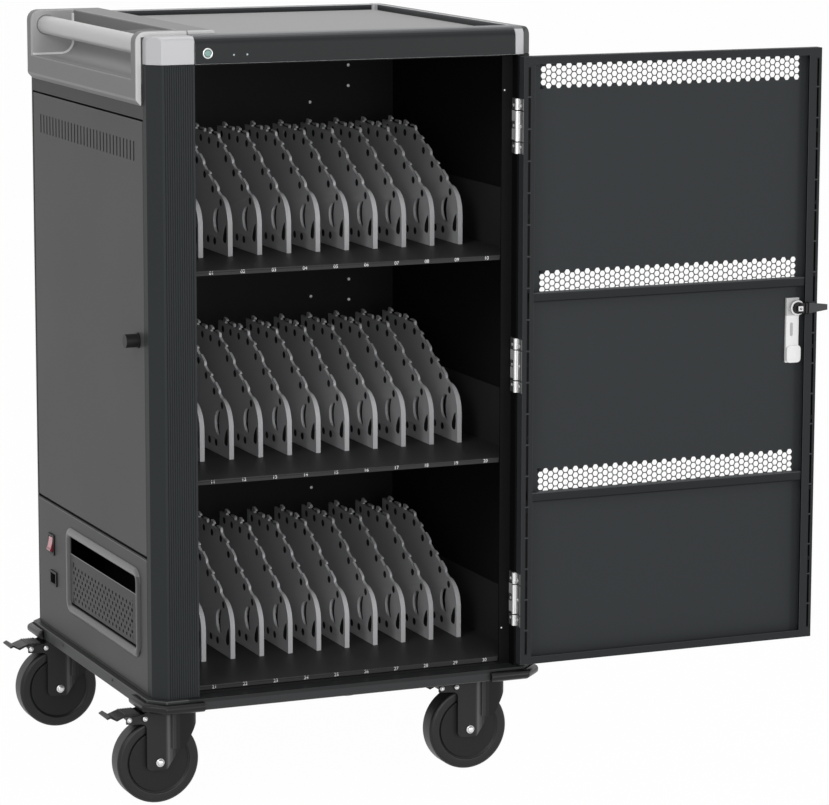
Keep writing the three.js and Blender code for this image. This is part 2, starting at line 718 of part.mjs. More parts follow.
// Mains inlet with three pins
place('power_inlet', union([
  cut(union([
    box(-2.5, -seat, inletY - inletWidth / 2, inletY + inletWidth / 2,
      inletHeight - inletTall / 2, inletHeight + inletTall / 2),
    box(-1, 20, inletY - inletWidth / 2 + frameFit + play, inletY + inletWidth / 2 - frameFit - play,
      inletHeight - inletTall / 2 + frameFit + play, inletHeight + inletTall / 2 - frameFit - play),
  ]), [box(-4, 16, inletY - 12.5, inletY + 12.5, inletHeight - 8.2, inletHeight + 8.2)]),
  ...[[-7, -2], [0, 3], [7, -2]].map(([y, z]) => box(3, 17, inletY + y - 1, inletY + y + 1,
    inletHeight + z - 2, inletHeight + z + 2)),
]), BLACK, 0, 0.5);

// Power strips on the partition, one for each shelf, in the side compartment
const stripFront = panelFront + stripMargin;
const stripRear = sideDoorRear - stripMargin;
const socketPitch = (stripRear - stripFront) / socketCount;
['lower', 'middle', 'upper'].forEach((level, k) => {
  const z = shelfLowest + k * shelfPitch + stripRise;
  const face = partitionLeft - seat - stripDepth;
  const cuts = [];
  for (let i = 0; i < socketCount; i += 1) {
    const y = stripFront + (i + 0.5) * socketPitch;
    cuts.push(box(face - 1, face + socketDepth, y - socketWidth / 2, y + socketWidth / 2,
      z - socketHeight / 2, z + socketHeight / 2));
  }
  const strip = box(face, partitionLeft - seat, stripFront, stripRear, z - stripHeight / 2, z + stripHeight / 2);
  place('power_strip_' + level, cut(strip, cuts), 0x2a2a2a, 0, 0.6);
});

// Power button in the control bar
place('power_button', prismY(disc(buttonX, buttonHeight, buttonRadius, 20), -2, 5), 0x8fb0a8, 0, 0.4);

// Front door: folded pan seen from its inside, with slotted edge flanges
const doorOpenLeft = doorLeft + doorFlangeHinge;
const doorOpenRight = doorRight - doorFlangeFree;
const doorCuts = [
  box(doorLeft + doorSkin, doorRight - doorSkin, doorFace + doorSkin, doorBack - doorSkin,
    doorBottom + doorSkin, doorTop - doorSkin),
  box(doorOpenLeft, doorOpenRight, doorFace - 1, doorFace + doorSkin + 1,
    doorBottom + doorFlangeEnds, doorTop - doorFlangeEnds),
  prismY(disc(latchX, latchHeight, latchRing + 0.5, 20), doorBack - doorSkin - 1, doorBack + 1),
];
// Windows for the perforated bands
for (const z of bandHeights) {
  doorCuts.push(box(doorOpenLeft + bandMargin, doorOpenRight - bandMarginFree, doorBack - doorSkin - 1, doorBack + 1,
    z - bandHeight / 2, z + bandHeight / 2));
}
const slotCount = 8;
const slotSpan = (doorTop - doorBottom - 30) / slotCount;
for (let i = 0; i < slotCount; i += 1) {
  const z0 = doorBottom + 15 + i * slotSpan + 3;
  for (const x of [doorLeft + 9.5, doorRight - 6.5]) {
    doorCuts.push(box(x - 1.2, x + 1.2, doorFace - 1, doorFace + doorSkin + 1, z0, z0 + slotSpan - 6));
  }
}
for (const centre of hingeCentres) {
  doorCuts.push(prismZ(disc(hingeX, hingeY, knuckleRadius + 0.7, 16),
    centre - hingeHeight / 2 - 1, centre + hingeHeight / 2 + 1));
}
place('front_door', cut(box(doorLeft, doorRight, doorFace, doorBack, doorBottom, doorTop), doorCuts),
  CHARCOAL, 0.3, 0.5);

// Door stiffeners: open channels across the inside
doorRibHeights.forEach((z, k) => {
  const back = doorBack - doorSkin - seat;
  place(['door_rib_lower', 'door_rib_upper'][k], cut(
    box(doorOpenLeft, doorOpenRight, back - doorRibDepth, back, z - doorRibHeight / 2, z + doorRibHeight / 2),
    [box(doorOpenLeft - 1, doorOpenRight + 1, back - doorRibDepth + 2, back + 1,
      z - doorRibHeight / 2 + 2, z + doorRibHeight / 2 - 2)]), CHARCOAL, 0.3, 0.5);
});

// Latch: plate on the door, cam arm inside, lever outside on one spindle
const plateBack = doorBack - doorSkin - seat;
const plateTop = latchHeight + 16;
const plateLeft = latchX - 17;
const plateRing = prismY(disc(latchX, latchHeight, latchRing + 1.5, 20), plateBack - 30, plateBack + 1);
place('lock_plate', cut(union([
  box(plateLeft, plateLeft + lockPlateWidth, plateBack - 5, plateBack, plateTop - lockPlateHeight, plateTop),
  prismY(roundRect(plateLeft, plateLeft + lockPlateWidth + 2.5, plateTop - lockPlateHeight,
    plateTop - lockPlateHeight + 28, 6), plateBack - 9, plateBack),
]), [plateRing]), SILVER, 0.8, 0.3);
const armFace = doorFace - 1;
place('latch_cam', union([
  prismY(disc(latchX, latchHeight, latchRing, 20), armFace - 0.5, doorBack - 0.1),
  prismY([[latchX, latchHeight - 8], [latchX + 18, latchHeight - 8.5], [latchX + latchArmReach, latchHeight - 4.5],
    [latchX + latchArmReach, latchHeight + 4.5], [latchX + 18, latchHeight + 8.5], [latchX, latchHeight + 8]],
  armFace - 3, armFace),
  box(latchX - 4, latchX + 4, armFace - 6, armFace, latchHeight - 4, latchHeight + 4),
]), BLACK, 0.4, 0.5);
place('door_lever', union([
  prismY(disc(latchX, latchHeight, 15, 24), doorBack + seat, doorBack + 12),
  prismY(roundRect(latchX - 9, latchX + 9, latchHeight - leverLength, latchHeight + 6, 8),
    doorBack + 10, doorBack + 20),
]), BLACK, 0.2, 0.5);

// Butt hinges: the frame leaf carries the pin, the door leaf turns on it
['lower', 'middle', 'upper'].forEach((level, k) => {
  const z0 = hingeCentres[k] - hingeHeight / 2;
  const z1 = hingeCentres[k] + hingeHeight / 2;
  const m0 = hingeCentres[k] - knuckleShare / 2;
  const m1 = hingeCentres[k] + knuckleShare / 2;
  const knuckle = (radius, from, to) => prismZ(disc(hingeX, hingeY, radius, 16), from, to);
  const frameLeaf = box(rightPostLeft - seat - hingeLeaf, rightPostLeft - seat, hingeY, hingeLeafReach, z0, z1);
  const doorLeaf = box(doorLeft - seat - hingeLeaf, doorLeft - seat, doorFace + 1, hingeY, z0, z1);
  place('hinge_frame_' + level, union([
    cut(frameLeaf, [knuckle(knuckleRadius + play, m0 - play, m1 + play)]),
    knuckle(knuckleRadius, z0, m0 - play),
    knuckle(knuckleRadius, m1 + play, z1),
    knuckle(hingePinRadius, m0 - 1, m1 + 1),
  ]), STEEL, 0.9, 0.25);
  place('hinge_door_' + level, cut(
    cut(doorLeaf, [knuckle(knuckleRadius + play, z0 - 1, m0), knuckle(knuckleRadius + play, m1, z1 + 1)])
      .add(knuckle(knuckleRadius, m0, m1)),
    [knuckle(hingePinRadius + 0.2, m0 - 1, m1 + 1)]), STEEL, 0.9, 0.25);
});

// Swivel casters with brake pedals, wheels trailing to the left
const wheelProfile = [
  [axleRadius + play, -wheelWidth / 2 + 2], [wheelRadius * 0.69, -wheelWidth / 2 + 2],
  [wheelRadius * 0.71, -wheelWidth / 2], [wheelRadius * 0.9, -wheelWidth / 2],
  [wheelRadius * 0.97, -wheelWidth / 2 + 4], [wheelRadius, -wheelWidth / 2 + 9],
];
const wheelRing = [...wheelProfile, ...wheelProfile.slice().reverse().map(([r, w]) => [r, -w])];
function casterWheel(x, y) {
  const points = [...wheelRing, wheelRing[0]].map(([r, w]) => new THREE.Vector2(r, w));
  const flat = 1 / Math.cos(Math.PI / wheelSides);
  const geometry = new THREE.LatheGeometry(points, wheelSides);
  geometry.rotateY(Math.PI / wheelSides);
  geometry.scale(flat, 1, flat);
  geometry.translate(x, y, wheelRadius);
  return solid(geometry);
}
// Fork: a U-shaped pressing with a long round nose, cut clear of the wheel
function casterFork(x, y, swivelX) {
  const inner = wheelWidth / 2 + forkGap;
  const outer = inner + forkLeg;
  const bottom = wheelRadius - forkBottom;
  const armBottom = forkTop - pedalArmDrop;
  const side = [
    ...arc(x - forkBack + forkCorner, bottom + forkCorner, forkCorner, 180, 270, 3),
    [x + forkFlank + 2, bottom], [x + forkFlank + forkNose + 1, wheelRadius + 46],
    [x + forkFlank + forkNose + 1, forkTop], [x - forkBack + 2, forkTop], [x - forkBack - 4, forkTop - 4.5],
    [x - pedalArm, forkTop - 9], [x - pedalArm, armBottom],
    ...arc(x - forkBack - forkCorner, armBottom - 2 - forkCorner, forkCorner, 90, 0, 3),
  ];
  const plan = (half, nose, left) => {
    const round = [];
    for (let i = -5; i <= 5; i += 1) {
      const angle = Math.PI / 2 * i / 5;
      round.push([x + forkFlank + nose * Math.cos(angle), y + half * Math.sin(angle)]);
    }
    return [[left, y - half], ...round, [left, y + half]];
  };
  const channel = prismZ(plan(outer, forkNose, x - pedalArm - 1), bottom - 1, forkTop)
    .subtract(prismZ(plan(inner, forkNose - forkLeg, x - pedalArm - 2), bottom - 2, forkTop + 1));
  const armHoles = [pedalArm - 5, forkBack + 5].map((back) => prismY(
    disc(x - back, forkTop - 13.2, pedalHoleRadius, 8), y - outer - 1, y + outer + 1));
  const wheelSpace = prismY(disc(x, wheelRadius, wheelRadius + wheelClear, 28),
    y - wheelWidth / 2 - 1, y + wheelWidth / 2 + 1);
  return union([
    cut(channel.intersect(prismY(side, y - outer - 1, y + outer + 1)), [...armHoles, wheelSpace]),
    box(x - forkBack + 6, swivelX + forkHead, y - inner - 1, y + inner + 1, forkTop - forkCrown, forkTop),
    prismZ(disc(swivelX, y, forkHead, 20), forkTop - 1, forkTop + forkHeadRise),
    prismY(disc(x, wheelRadius, axleRadius, 16), y - outer - axleProud, y + outer + axleProud),
  ]);
}
function casterPedal(x, y) {
  const outline = [
    [-30, -20], [-30, -3.5], [-54, -3.5], [-70, -9.2], [-79, -3.2], [-85, -6.4], [-83.5, -8.8],
    [-78.5, -6.8], [-68, -12.6], [-55, -7], [-44, -7], [-44, -20],
  ].map(([u, v]) => [x + u, forkTop + v]);
  const reach = wheelWidth / 2 + forkGap - seat;
  return prismY(outline, y - reach, y + reach);
}
for (const [name, swivelX, y] of [
  ['front_left', casterInsetX, casterInsetY],
  ['front_right', bodyWidth - casterInsetX, casterInsetY],
  ['rear_left', casterInsetX, bodyDepth - casterInsetY],
  ['rear_right', bodyWidth - casterInsetX, bodyDepth - casterInsetY],
]) {
  const x = swivelX - casterTrail;
  const plateTopZ = baseUnder - seat;
  const halfW = casterPlateWidth / 2;
  const halfD = casterPlateDepth / 2;
  place('caster_mount_' + name, union([
    box(swivelX - halfW + 4, swivelX + halfW - 4, y - halfD, y + halfD, plateTopZ - casterPlate, plateTopZ),
    prismZ(disc(swivelX, y, forkHead + 5, 20), forkTop + forkHeadRise + seat, plateTopZ - 1),
  ]), BLACK, 0.4, 0.5);
  place('caster_fork_' + name, casterFork(x, y, swivelX), BLACK, 0.4, 0.5);
  place('caster_wheel_' + name, casterWheel(x, y), 0x242424, 0, 0.7);
  place('caster_pedal_' + name, casterPedal(x, y), BLACK, 0, 0.6);
}

// The origin lies on the floor under the middle of the part's box
const bounds = new THREE.Box3().setFromObject(cart);
cart.position.set(-(bounds.min.x + bounds.max.x) / 2, -(bounds.min.y + bounds.max.y) / 2, 0);

export default cart;
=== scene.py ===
"""Looks of a laptop charging cart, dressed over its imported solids."""

import math

import bpy
import numpy as np
from mathutils import Matrix, Vector


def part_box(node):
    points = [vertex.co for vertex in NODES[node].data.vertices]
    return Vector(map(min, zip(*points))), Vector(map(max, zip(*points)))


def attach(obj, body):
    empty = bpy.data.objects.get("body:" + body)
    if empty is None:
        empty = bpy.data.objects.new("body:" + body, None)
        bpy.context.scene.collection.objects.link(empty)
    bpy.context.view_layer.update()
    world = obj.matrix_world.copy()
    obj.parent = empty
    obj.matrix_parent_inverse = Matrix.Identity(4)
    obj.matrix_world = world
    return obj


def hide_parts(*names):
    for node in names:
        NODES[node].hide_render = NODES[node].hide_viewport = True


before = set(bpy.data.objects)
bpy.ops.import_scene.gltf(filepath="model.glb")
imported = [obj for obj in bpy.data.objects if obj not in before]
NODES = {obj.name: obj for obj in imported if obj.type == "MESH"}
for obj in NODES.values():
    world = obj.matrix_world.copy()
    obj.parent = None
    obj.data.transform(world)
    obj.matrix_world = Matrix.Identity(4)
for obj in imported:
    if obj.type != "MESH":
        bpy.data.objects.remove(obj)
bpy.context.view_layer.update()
MM = 0.001
LEVELS = ("lower", "middle", "upper")
CORNERS = ("front_left", "front_right", "rear_left", "rear_right")

# The cabinet's left and front faces, from which all places are measured
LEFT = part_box("cabinet_shell")[0].x
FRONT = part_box("cabinet_shell")[0].y


def place(x, y, z):
    """Millimetres from the cabinet's left face, its front face and the floor, as metres in the frame."""
    return np.array([LEFT + x * MM, FRONT + y * MM, z * MM])


def placed(points):
    """Rows of such millimetres as metres in the frame."""
    return points * MM + place(0, 0, 0)


def node_span(node):
    """A node's lowest and highest corner in millimetres from the left face, the front face and the floor."""
    low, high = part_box(node)
    shift = np.array([LEFT, FRONT, 0.0])
    return (np.array(low) - shift) / MM, (np.array(high) - shift) / MM


# Shader nodes


def linear(code):
    """A six-digit screen colour as the linear colour that a shader takes."""
    channels = [int(code[i:i + 2], 16) / 255 for i in (0, 2, 4)]
    return [c / 12.92 if c <= 0.04045 else ((c + 0.055) / 1.055) ** 2.4 for c in channels] + [1.0]


def feed(tree, socket, value):
    """Links a socket from another node's output, or sets it to a plain value."""
    if isinstance(value, bpy.types.NodeSocket):
        tree.links.new(value, socket)
    else:
        socket.default_value = value


def math_node(tree, operation, first, second=0.0, third=0.0):
    """One Math node, fed by sockets or numbers."""
    node = tree.nodes.new("ShaderNodeMath")
    node.operation = operation
    for socket, value in zip(node.inputs, (first, second, third)):
        feed(tree, socket, value)
    return node.outputs[0]


def noise_node(tree, vector, scale, detail):
    """One Noise Texture node's grey value."""
    node = tree.nodes.new("ShaderNodeTexNoise")
    feed(tree, node.inputs["Vector"], vector)
    feed(tree, node.inputs["Scale"], scale)
    node.inputs["Detail"].default_value = detail
    return node.outputs[0]


def mix_colour(tree, factor, first, second):
    """One Mix node on colours."""
    node = tree.nodes.new("ShaderNodeMix")
    node.data_type = "RGBA"
    feed(tree, node.inputs["Factor"], factor)
    feed(tree, node.inputs[6], first)
    feed(tree, node.inputs[7], second)
    return node.outputs[2]


def mix_shaders(tree, share, first, second, output):
    """Sends two shaders to an output's surface, the second one with that share."""
    node = tree.nodes.new("ShaderNodeMixShader")
    feed(tree, node.inputs[0], share)
    tree.links.new(first.outputs[0], node.inputs[1])
    tree.links.new(second.outputs[0], node.inputs[2])
    tree.links.new(node.outputs[0], output.inputs["Surface"])


# Camera, light and floor

# The photograph's width in pixels, and its camera in pixels, millimetres and radians
IMAGE_WIDTH = 829
FOCAL_PIXELS = 3747.4
CAMERA_PLACE = (-1825.1, -5303.8, 1603.7)
CAMERA_YAW = 0.40209
CAMERA_PITCH = 0.17074
CAMERA_ROLL = 0.00198
SENSOR = 36.0

# How far the camera sees and the floor reaches, in metres
VIEW_END = 200.0
FLOOR_HALF = 45.0

WHITE = (1, 1, 1, 1)
WORLD_LIGHT = 0.3
FLOOR_GREY = (0.9, 0.9, 0.9, 1)
FLOOR_ROUGHNESS = 0.9
FLOOR_GLOW = 0.985


def make_camera():
    """The camera stands where the photograph's was: yaw from +Y towards +X, pitch down, then a small roll."""
    yaw, pitch, roll = CAMERA_YAW, CAMERA_PITCH, CAMERA_ROLL
    flat = np.array([math.sin(yaw), math.cos(yaw), 0.0])
    ahead = math.cos(pitch) * flat - np.array([0.0, 0.0, math.sin(pitch)])
    level = np.array([math.cos(yaw), -math.sin(yaw), 0.0])
    above = np.cross(level, ahead)
    right = math.cos(roll) * level + math.sin(roll) * above
    up = math.cos(roll) * above - math.sin(roll) * level
    data = bpy.data.cameras.new("camera")
    data.sensor_width = SENSOR
    data.lens = FOCAL_PIXELS * SENSOR / IMAGE_WIDTH
    data.clip_end = VIEW_END
    camera = bpy.data.objects.new("camera", data)
    turn = Matrix(np.stack([right, up, -ahead], axis=1).tolist()).to_4x4()
    camera.matrix_world = Matrix.Translation(place(*CAMERA_PLACE).tolist()) @ turn
    bpy.context.scene.collection.objects.link(camera)
    bpy.context.scene.camera = camera


def area_light(name, spot, aim, size, power):
    """A square soft light at spot, turned to shine at aim, both in metres."""
    data = bpy.data.lights.new(name, "AREA")
    data.size = size
    data.energy = power
    lamp = bpy.data.objects.new(name, data)
    turn = (Vector(aim) - Vector(spot)).to_track_quat("-Z", "Y").to_matrix().to_4x4()
    lamp.matrix_world = Matrix.Translation(spot) @ turn
    bpy.context.scene.collection.objects.link(lamp)


def seen_itself(tree):
    """One for the rays that see the backdrop itself, which are camera, glossy and transmission rays."""
    path = tree.nodes.new("ShaderNodeLightPath").outputs
    seen = math_node(tree, "MAXIMUM", path["Is Camera Ray"], path["Is Glossy Ray"])
    return math_node(tree, "MAXIMUM", seen, path["Is Transmission Ray"])


def make_world():
    """A white backdrop for the eye, with a plainer grey level of light on the object."""
    world = bpy.data.worlds.new("studio")
    world.use_nodes = True
    tree = world.node_tree
    shown = tree.nodes["Background"]
    lit = tree.nodes.new("ShaderNodeBackground")
    for shader, strength in ((shown, 1.0), (lit, WORLD_LIGHT)):
        shader.inputs["Color"].default_value = WHITE
        shader.inputs["Strength"].default_value = strength
    mix_shaders(tree, seen_itself(tree), lit, shown, tree.nodes["World Output"])
    bpy.context.scene.world = world
    bpy.context.scene.view_settings.view_transform = "Standard"


def make_floor():
    """A pale square floor that keeps a faint shadow."""
    corners = [(-1, -1, 0), (1, -1, 0), (1, 1, 0), (-1, 1, 0)]
    mesh = bpy.data.meshes.new("floor")
    mesh.from_pydata((np.array(corners) * FLOOR_HALF).tolist(), [], [(0, 1, 2, 3)])
    floor = bpy.data.objects.new("floor", mesh)
    material = bpy.data.materials.new("floor")
    material.use_nodes = True
    tree = material.node_tree
    matt = tree.nodes["Principled BSDF"]
    matt.inputs["Base Color"].default_value = FLOOR_GREY
    matt.inputs["Roughness"].default_value = FLOOR_ROUGHNESS
    glow = tree.nodes.new("ShaderNodeEmission")
    glow.inputs["Color"].default_value = WHITE
    share = math_node(tree, "MULTIPLY", seen_itself(tree), FLOOR_GLOW)
    mix_shaders(tree, share, matt, glow, tree.nodes["Material Output"])
    mesh.materials.append(material)
    bpy.context.scene.collection.objects.link(floor)


make_camera()
make_world()
make_floor()
area_light("key", (-4.4, -3.2, 4.0), (-0.2, 0.0, 0.6), size=2.6, power=76)
area_light("front_fill", (-0.9, -5.7, 1.5), (0.0, 0.0, 0.7), size=2.6, power=100)
area_light("right_fill", (2.9, -4.6, 1.1), (0.0, 0.0, 0.5), size=1.2, power=34)
area_light("top", (0.0, 0.3, 4.4), (0.0, 0.0, 0.9), size=2.6, power=50)

# Finishes: grain for all of them, and painted zones for some

VECTOR = "NodeSocketVector"
COLOUR = "NodeSocketColor"
FLOAT = "NodeSocketFloat"
FINE_DETAIL = 3.0
CLOUD_SCALE = 6.0
CLOUD_DETAIL = 2.0
ROUGHNESS_SPREAD = 0.06
BUMP_DEPTH = 0.0002


def new_group(name, inputs, outputs):
    """A shader node group with named sockets, and its two end nodes."""
    group = bpy.data.node_groups.new(name, "ShaderNodeTree")
    for label, kind in inputs:
        group.interface.new_socket(label, in_out="INPUT", socket_type=kind)
    for label, kind in outputs:
        group.interface.new_socket(label, in_out="OUTPUT", socket_type=kind)
    return group, group.nodes.new("NodeGroupInput").outputs, group.nodes.new("NodeGroupOutput").inputs


def make_grain_group():
    """Fine grain and slow cloudiness add up. The sum shifts the colour's brightness and the roughness,
    and the fine grain alone is the height."""
    group, given, out = new_group(
        "surface_grain",
        [("Vector", VECTOR), ("Colour", COLOUR), ("Spread", FLOAT), ("Grain", FLOAT),
         ("Roughness", FLOAT), ("Roughness Spread", FLOAT)],
        [("Colour", COLOUR), ("Roughness", FLOAT), ("Height", FLOAT)])
    fine = noise_node(group, given["Vector"], given["Grain"], FINE_DETAIL)
    broad = noise_node(group, given["Vector"], CLOUD_SCALE, CLOUD_DETAIL)
    both = math_node(group, "SUBTRACT", math_node(group, "ADD", fine, broad), 1.0)
    shade = math_node(group, "MULTIPLY_ADD", both, given["Spread"], 1.0)
    scaled = group.nodes.new("ShaderNodeVectorMath")
    scaled.operation = "SCALE"
    group.links.new(given["Colour"], scaled.inputs[0])
    group.links.new(shade, scaled.inputs["Scale"])
    group.links.new(scaled.outputs[0], out["Colour"])
    rough = math_node(group, "MULTIPLY_ADD", both, given["Roughness Spread"], given["Roughness"])
    group.links.new(rough, out["Roughness"])
    group.links.new(fine, out["Height"])
    return group


def make_span_group():
    """One inside a span of a value, nought outside it."""
    group, given, out = new_group(
        "inside_span", [("Value", FLOAT), ("From", FLOAT), ("To", FLOAT)], [("Inside", FLOAT)])
    past_start = math_node(group, "GREATER_THAN", given["Value"], given["From"])
    before_end = math_node(group, "LESS_THAN", given["Value"], given["To"])
    group.links.new(math_node(group, "MULTIPLY", past_start, before_end), out["Inside"])
    return group


GRAIN = make_grain_group()
SPAN = make_span_group()


def group_node(tree, group, values):
    """One node of a group, with its inputs fed by their labels."""
    node = tree.nodes.new("ShaderNodeGroup")
    node.node_tree = group
    for label, value in values.items():
        feed(tree, node.inputs[label], value)
    return node.outputs


def box_mask(tree, axes, box):
    """One inside a box, nought outside it: the product of its three sides' spans."""
    low, high = place(*box[:, 0]), place(*box[:, 1])
    across, back, up = [
        group_node(tree, SPAN, {"Value": axis, "From": start, "To": end})["Inside"]
        for axis, start, end in zip(axes, low, high)]
    return math_node(tree, "MULTIPLY", math_node(tree, "MULTIPLY", across, back), up)


def painted(tree, where, colour, layers):
    """The colour after each layer has laid its own colour over all its boxes, later layers on top."""
    split = tree.nodes.new("ShaderNodeSeparateXYZ")
    tree.links.new(where, split.inputs[0])
    for code, boxes in layers:
        masks = [box_mask(tree, split.outputs, box) for box in boxes]
        inside = masks[0]
        for mask in masks[1:]:
            inside = math_node(tree, "MAXIMUM", inside, mask)
        colour = mix_colour(tree, inside, colour, linear(code))
    return colour


def stretched(tree, vector, scale):
    """The vector stretched by a Mapping node, for brushed or drawn marks."""
    node = tree.nodes.new("ShaderNodeMapping")
    node.inputs["Scale"].default_value = scale
    tree.links.new(vector, node.inputs["Vector"])
    return node.outputs[0]


def finish(name, code, roughness, grain=900.0, spread=0.06, bump=0.05, metallic=0.0, specular=0.5,
           coat=0.0, stretch=None, layers=None):
    """One finish: grain on Object coordinates drives its colour, roughness and bump.
    Layers are pairs of a colour and the boxes that it is painted over."""
    material = bpy.data.materials.new(name)
    material.use_nodes = True
    tree = material.node_tree
    shader = tree.nodes["Principled BSDF"]
    where = tree.nodes.new("ShaderNodeTexCoord").outputs["Object"]
    colour = linear(code)
    surface = group_node(tree, GRAIN, {
        "Vector": stretched(tree, where, stretch) if stretch else where,
        "Colour": painted(tree, where, colour, layers) if layers else colour,
        "Spread": spread,
        "Grain": grain,
        "Roughness": roughness,
        "Roughness Spread": ROUGHNESS_SPREAD,
    })
    height = tree.nodes.new("ShaderNodeBump")
    height.inputs["Strength"].default_value = bump
    height.inputs["Distance"].default_value = BUMP_DEPTH
    tree.links.new(surface["Height"], height.inputs["Height"])
    tree.links.new(surface["Colour"], shader.inputs["Base Color"])
    tree.links.new(surface["Roughness"], shader.inputs["Roughness"])
    tree.links.new(height.outputs[0], shader.inputs["Normal"])
    shader.inputs["Metallic"].default_value = metallic
    shader.inputs["Specular IOR Level"].default_value = specular
    shader.inputs["Coat Weight"].default_value = coat
    return material


# Painted zones: boxes in millimetres from the left face, the front face and the floor

FAR = 3000.0
OPEN = (-FAR, FAR)

# How far a zone reaches past the edge that it covers
PAST = 1.0


def zone(x=OPEN, y=OPEN, z=OPEN):
    """A box from its spans of X, Y and Z; a span left out is open."""
    return np.array([x, y, z])


def up_to(end):
    """A span that is open at its start."""
    return (-FAR, end)


def over(start):
    """A span that is open at its end."""
    return (start, FAR)


def about(middle, half):
    """A span of that half width about its middle."""
    return (middle - half, middle + half)


SIDE_GREY = "505050"
SHELL_SKIN = 0.6
SHELL_RIGHT = 631.0
SHELL_BACK = 609.5
SHELL_ROOM = (172.5, 1146.0)
JAMB_LEFT = 580.0
JAMB_DEPTH = 40.0


def shell_layers():
    """Painted shade makes all that lies further in near black and the right jamb black, shaded by the open
    door;
    the left face has the side's grey.
    """
    inside = zone((SHELL_SKIN, SHELL_RIGHT), up_to(SHELL_BACK), SHELL_ROOM)
    jamb = zone((JAMB_LEFT, SHELL_RIGHT), up_to(JAMB_DEPTH), SHELL_ROOM)
    return [("1a1a1b", [inside]), ("0b0b0c", [jamb]), (SIDE_GREY, [zone(x=up_to(SHELL_SKIN))])]


SLOT_X = (615.8, 1125.5)
SLOT_HALF = 2.2
SLOT_END = 16.0
# Black painted as shade in the slots' mouths and the hollow behind them
SLOT_SHADE = "050505"
FLANGE_SHEET = 1.2
FLANGE_EDGE = 1.0
HINGE_FLANGE = 18.8
FREE_FLANGE = 15.0


def slot_mouths():
    """The slots' mouths along both flanges of the door, painted black as shade."""
    low, high = node_span("front_door")
    tall = (low[2] + SLOT_END, high[2] - SLOT_END)
    return [zone(about(x, SLOT_HALF), up_to(low[1] + FLANGE_SHEET), tall) for x in SLOT_X]


def door_layers():
    """The turned-in flanges are darker than the skin, and the hollow behind their slots is painted black as
    shade.
    """
    low, high = node_span("front_door")
    flange = zone(y=up_to(low[1] + FLANGE_SHEET))
    hollow = (low[1] + FLANGE_SHEET, high[1] - FLANGE_SHEET)
    hinge_side = zone((low[0] + FLANGE_EDGE, low[0] + HINGE_FLANGE), hollow)
    free_side = zone((high[0] - FREE_FLANGE, high[0] - FLANGE_EDGE), hollow)
    return [("2a2c2e", [flange]), (SLOT_SHADE, [hinge_side, free_side, *slot_mouths()])]


def door_edge_layers():
    """The door's rounded edges are lighter, a painted highlight, but painted black as shade at the slots."""
    return [(SLOT_SHADE, slot_mouths())]


SIDE_SKIN = 1.2
SHADE_LINE = 3.0
# Width of the painted highlight under the lower panel's top
HIGHLIGHT_LINE = 1.0


def side_layers():
    """The outer skin has the side's grey. Painted shade darkens the folds and slots behind it, and lays a
    shade line along the top and front of the door and of the panel below it; a painted highlight lays a
    bright line under the panel's top."""
    panel_low, panel_high = node_span("lower_side_panel")
    front, top = panel_low[1], panel_high[2]
    line = zone(x=up_to(SIDE_SKIN), z=(top - SHADE_LINE - HIGHLIGHT_LINE, top - SHADE_LINE))
    folds = zone(x=over(SIDE_SKIN))
    edge = zone(y=(front - PAST, front + SHADE_LINE))
    seams = (top, node_span("side_access_door")[1][2])
    shades = [zone(z=(seam - SHADE_LINE, seam + PAST)) for seam in seams]
    return [("808080", [line]), ("0c0c0c", [folds, edge, *shades])]


# Height of the painted highlight along the pocket panel's top edge
PANEL_EDGE = 1.3


def panel_layers():
    """The pocket panel's top edge is bright, a painted highlight."""
    return [("8e8e8e", [zone(z=over(node_span("pocket_panel")[1][2] - PANEL_EDGE))])]


BEZEL_SHADE = 12.0


def bezel_layers():
    """The pocket's frame is lighter along its top, a painted highlight, and darker down its front end,
    painted shade.
    """
    low, high = node_span("pocket_bezel")
    crown = high[2] - BEZEL_SHADE
    front = zone(y=up_to(low[1] + BEZEL_SHADE), z=up_to(crown))
    return [("6a6a6a", [zone(z=over(crown))]), ("383838", [front])]


LEDGE_INSET = 60.0
LEDGE_DEPTH = 40.0
LEDGE_FALL = 6.0


def base_layers():
    """The ledge in front of the shelves is darker than the skirt."""
    low, high = node_span("base_frame")
    depth = (low[1] - PAST, low[1] + LEDGE_DEPTH)
    ledge = zone(over(low[0] + LEDGE_INSET), depth, over(high[2] - LEDGE_FALL))
    return [("232425", [ledge])]


# Painted highlight over the rounded top: drop below the bar's top, and the colour from there up
BAR_HIGHLIGHT_STEPS = ((9.0, "27292b"), (5.5, "3a3c3e"), (3.0, "545658"), (1.2, "747678"))


def bar_layers():
    """The bar and rails grow lighter over their rounded tops: a painted highlight."""
    top = node_span("control_bar")[1][2]
    return [(code, [zone(z=over(top - drop))]) for drop, code in BAR_HIGHLIGHT_STEPS]


# Heights of each stiffener's painted highlight on top and painted shadow at its foot
RIB_CREST = 1.6
RIB_FOOT = 1.8


def rib_layers():
    """The stiffeners have a painted highlight along their upper edge and a black painted shadow along their
    lower edge.
    """
    spans = [node_span("door_rib_lower"), node_span("door_rib_upper")]
    crests = [zone(z=(high[2] - RIB_CREST, high[2] + PAST)) for _, high in spans]
    feet = [zone(z=(low[2] - PAST, low[2] + RIB_FOOT)) for low, _ in spans]
    return [("484b4d", crests), ("101112", feet)]


# X of the left and right casters' axles
FORK_AXLES = (15.5, 540.5)
FORK_END = 80.0

# Painted highlight, then painted shade: start to the right of the axle, and the colour from there on
FORK_LIGHT_AND_SHADE = (
    (10, "3c3c3c"), (12.5, "5e5e5e"), (17, "4a4a4a"), (21, "343434"), (26, "202020"), (32, "121212"))


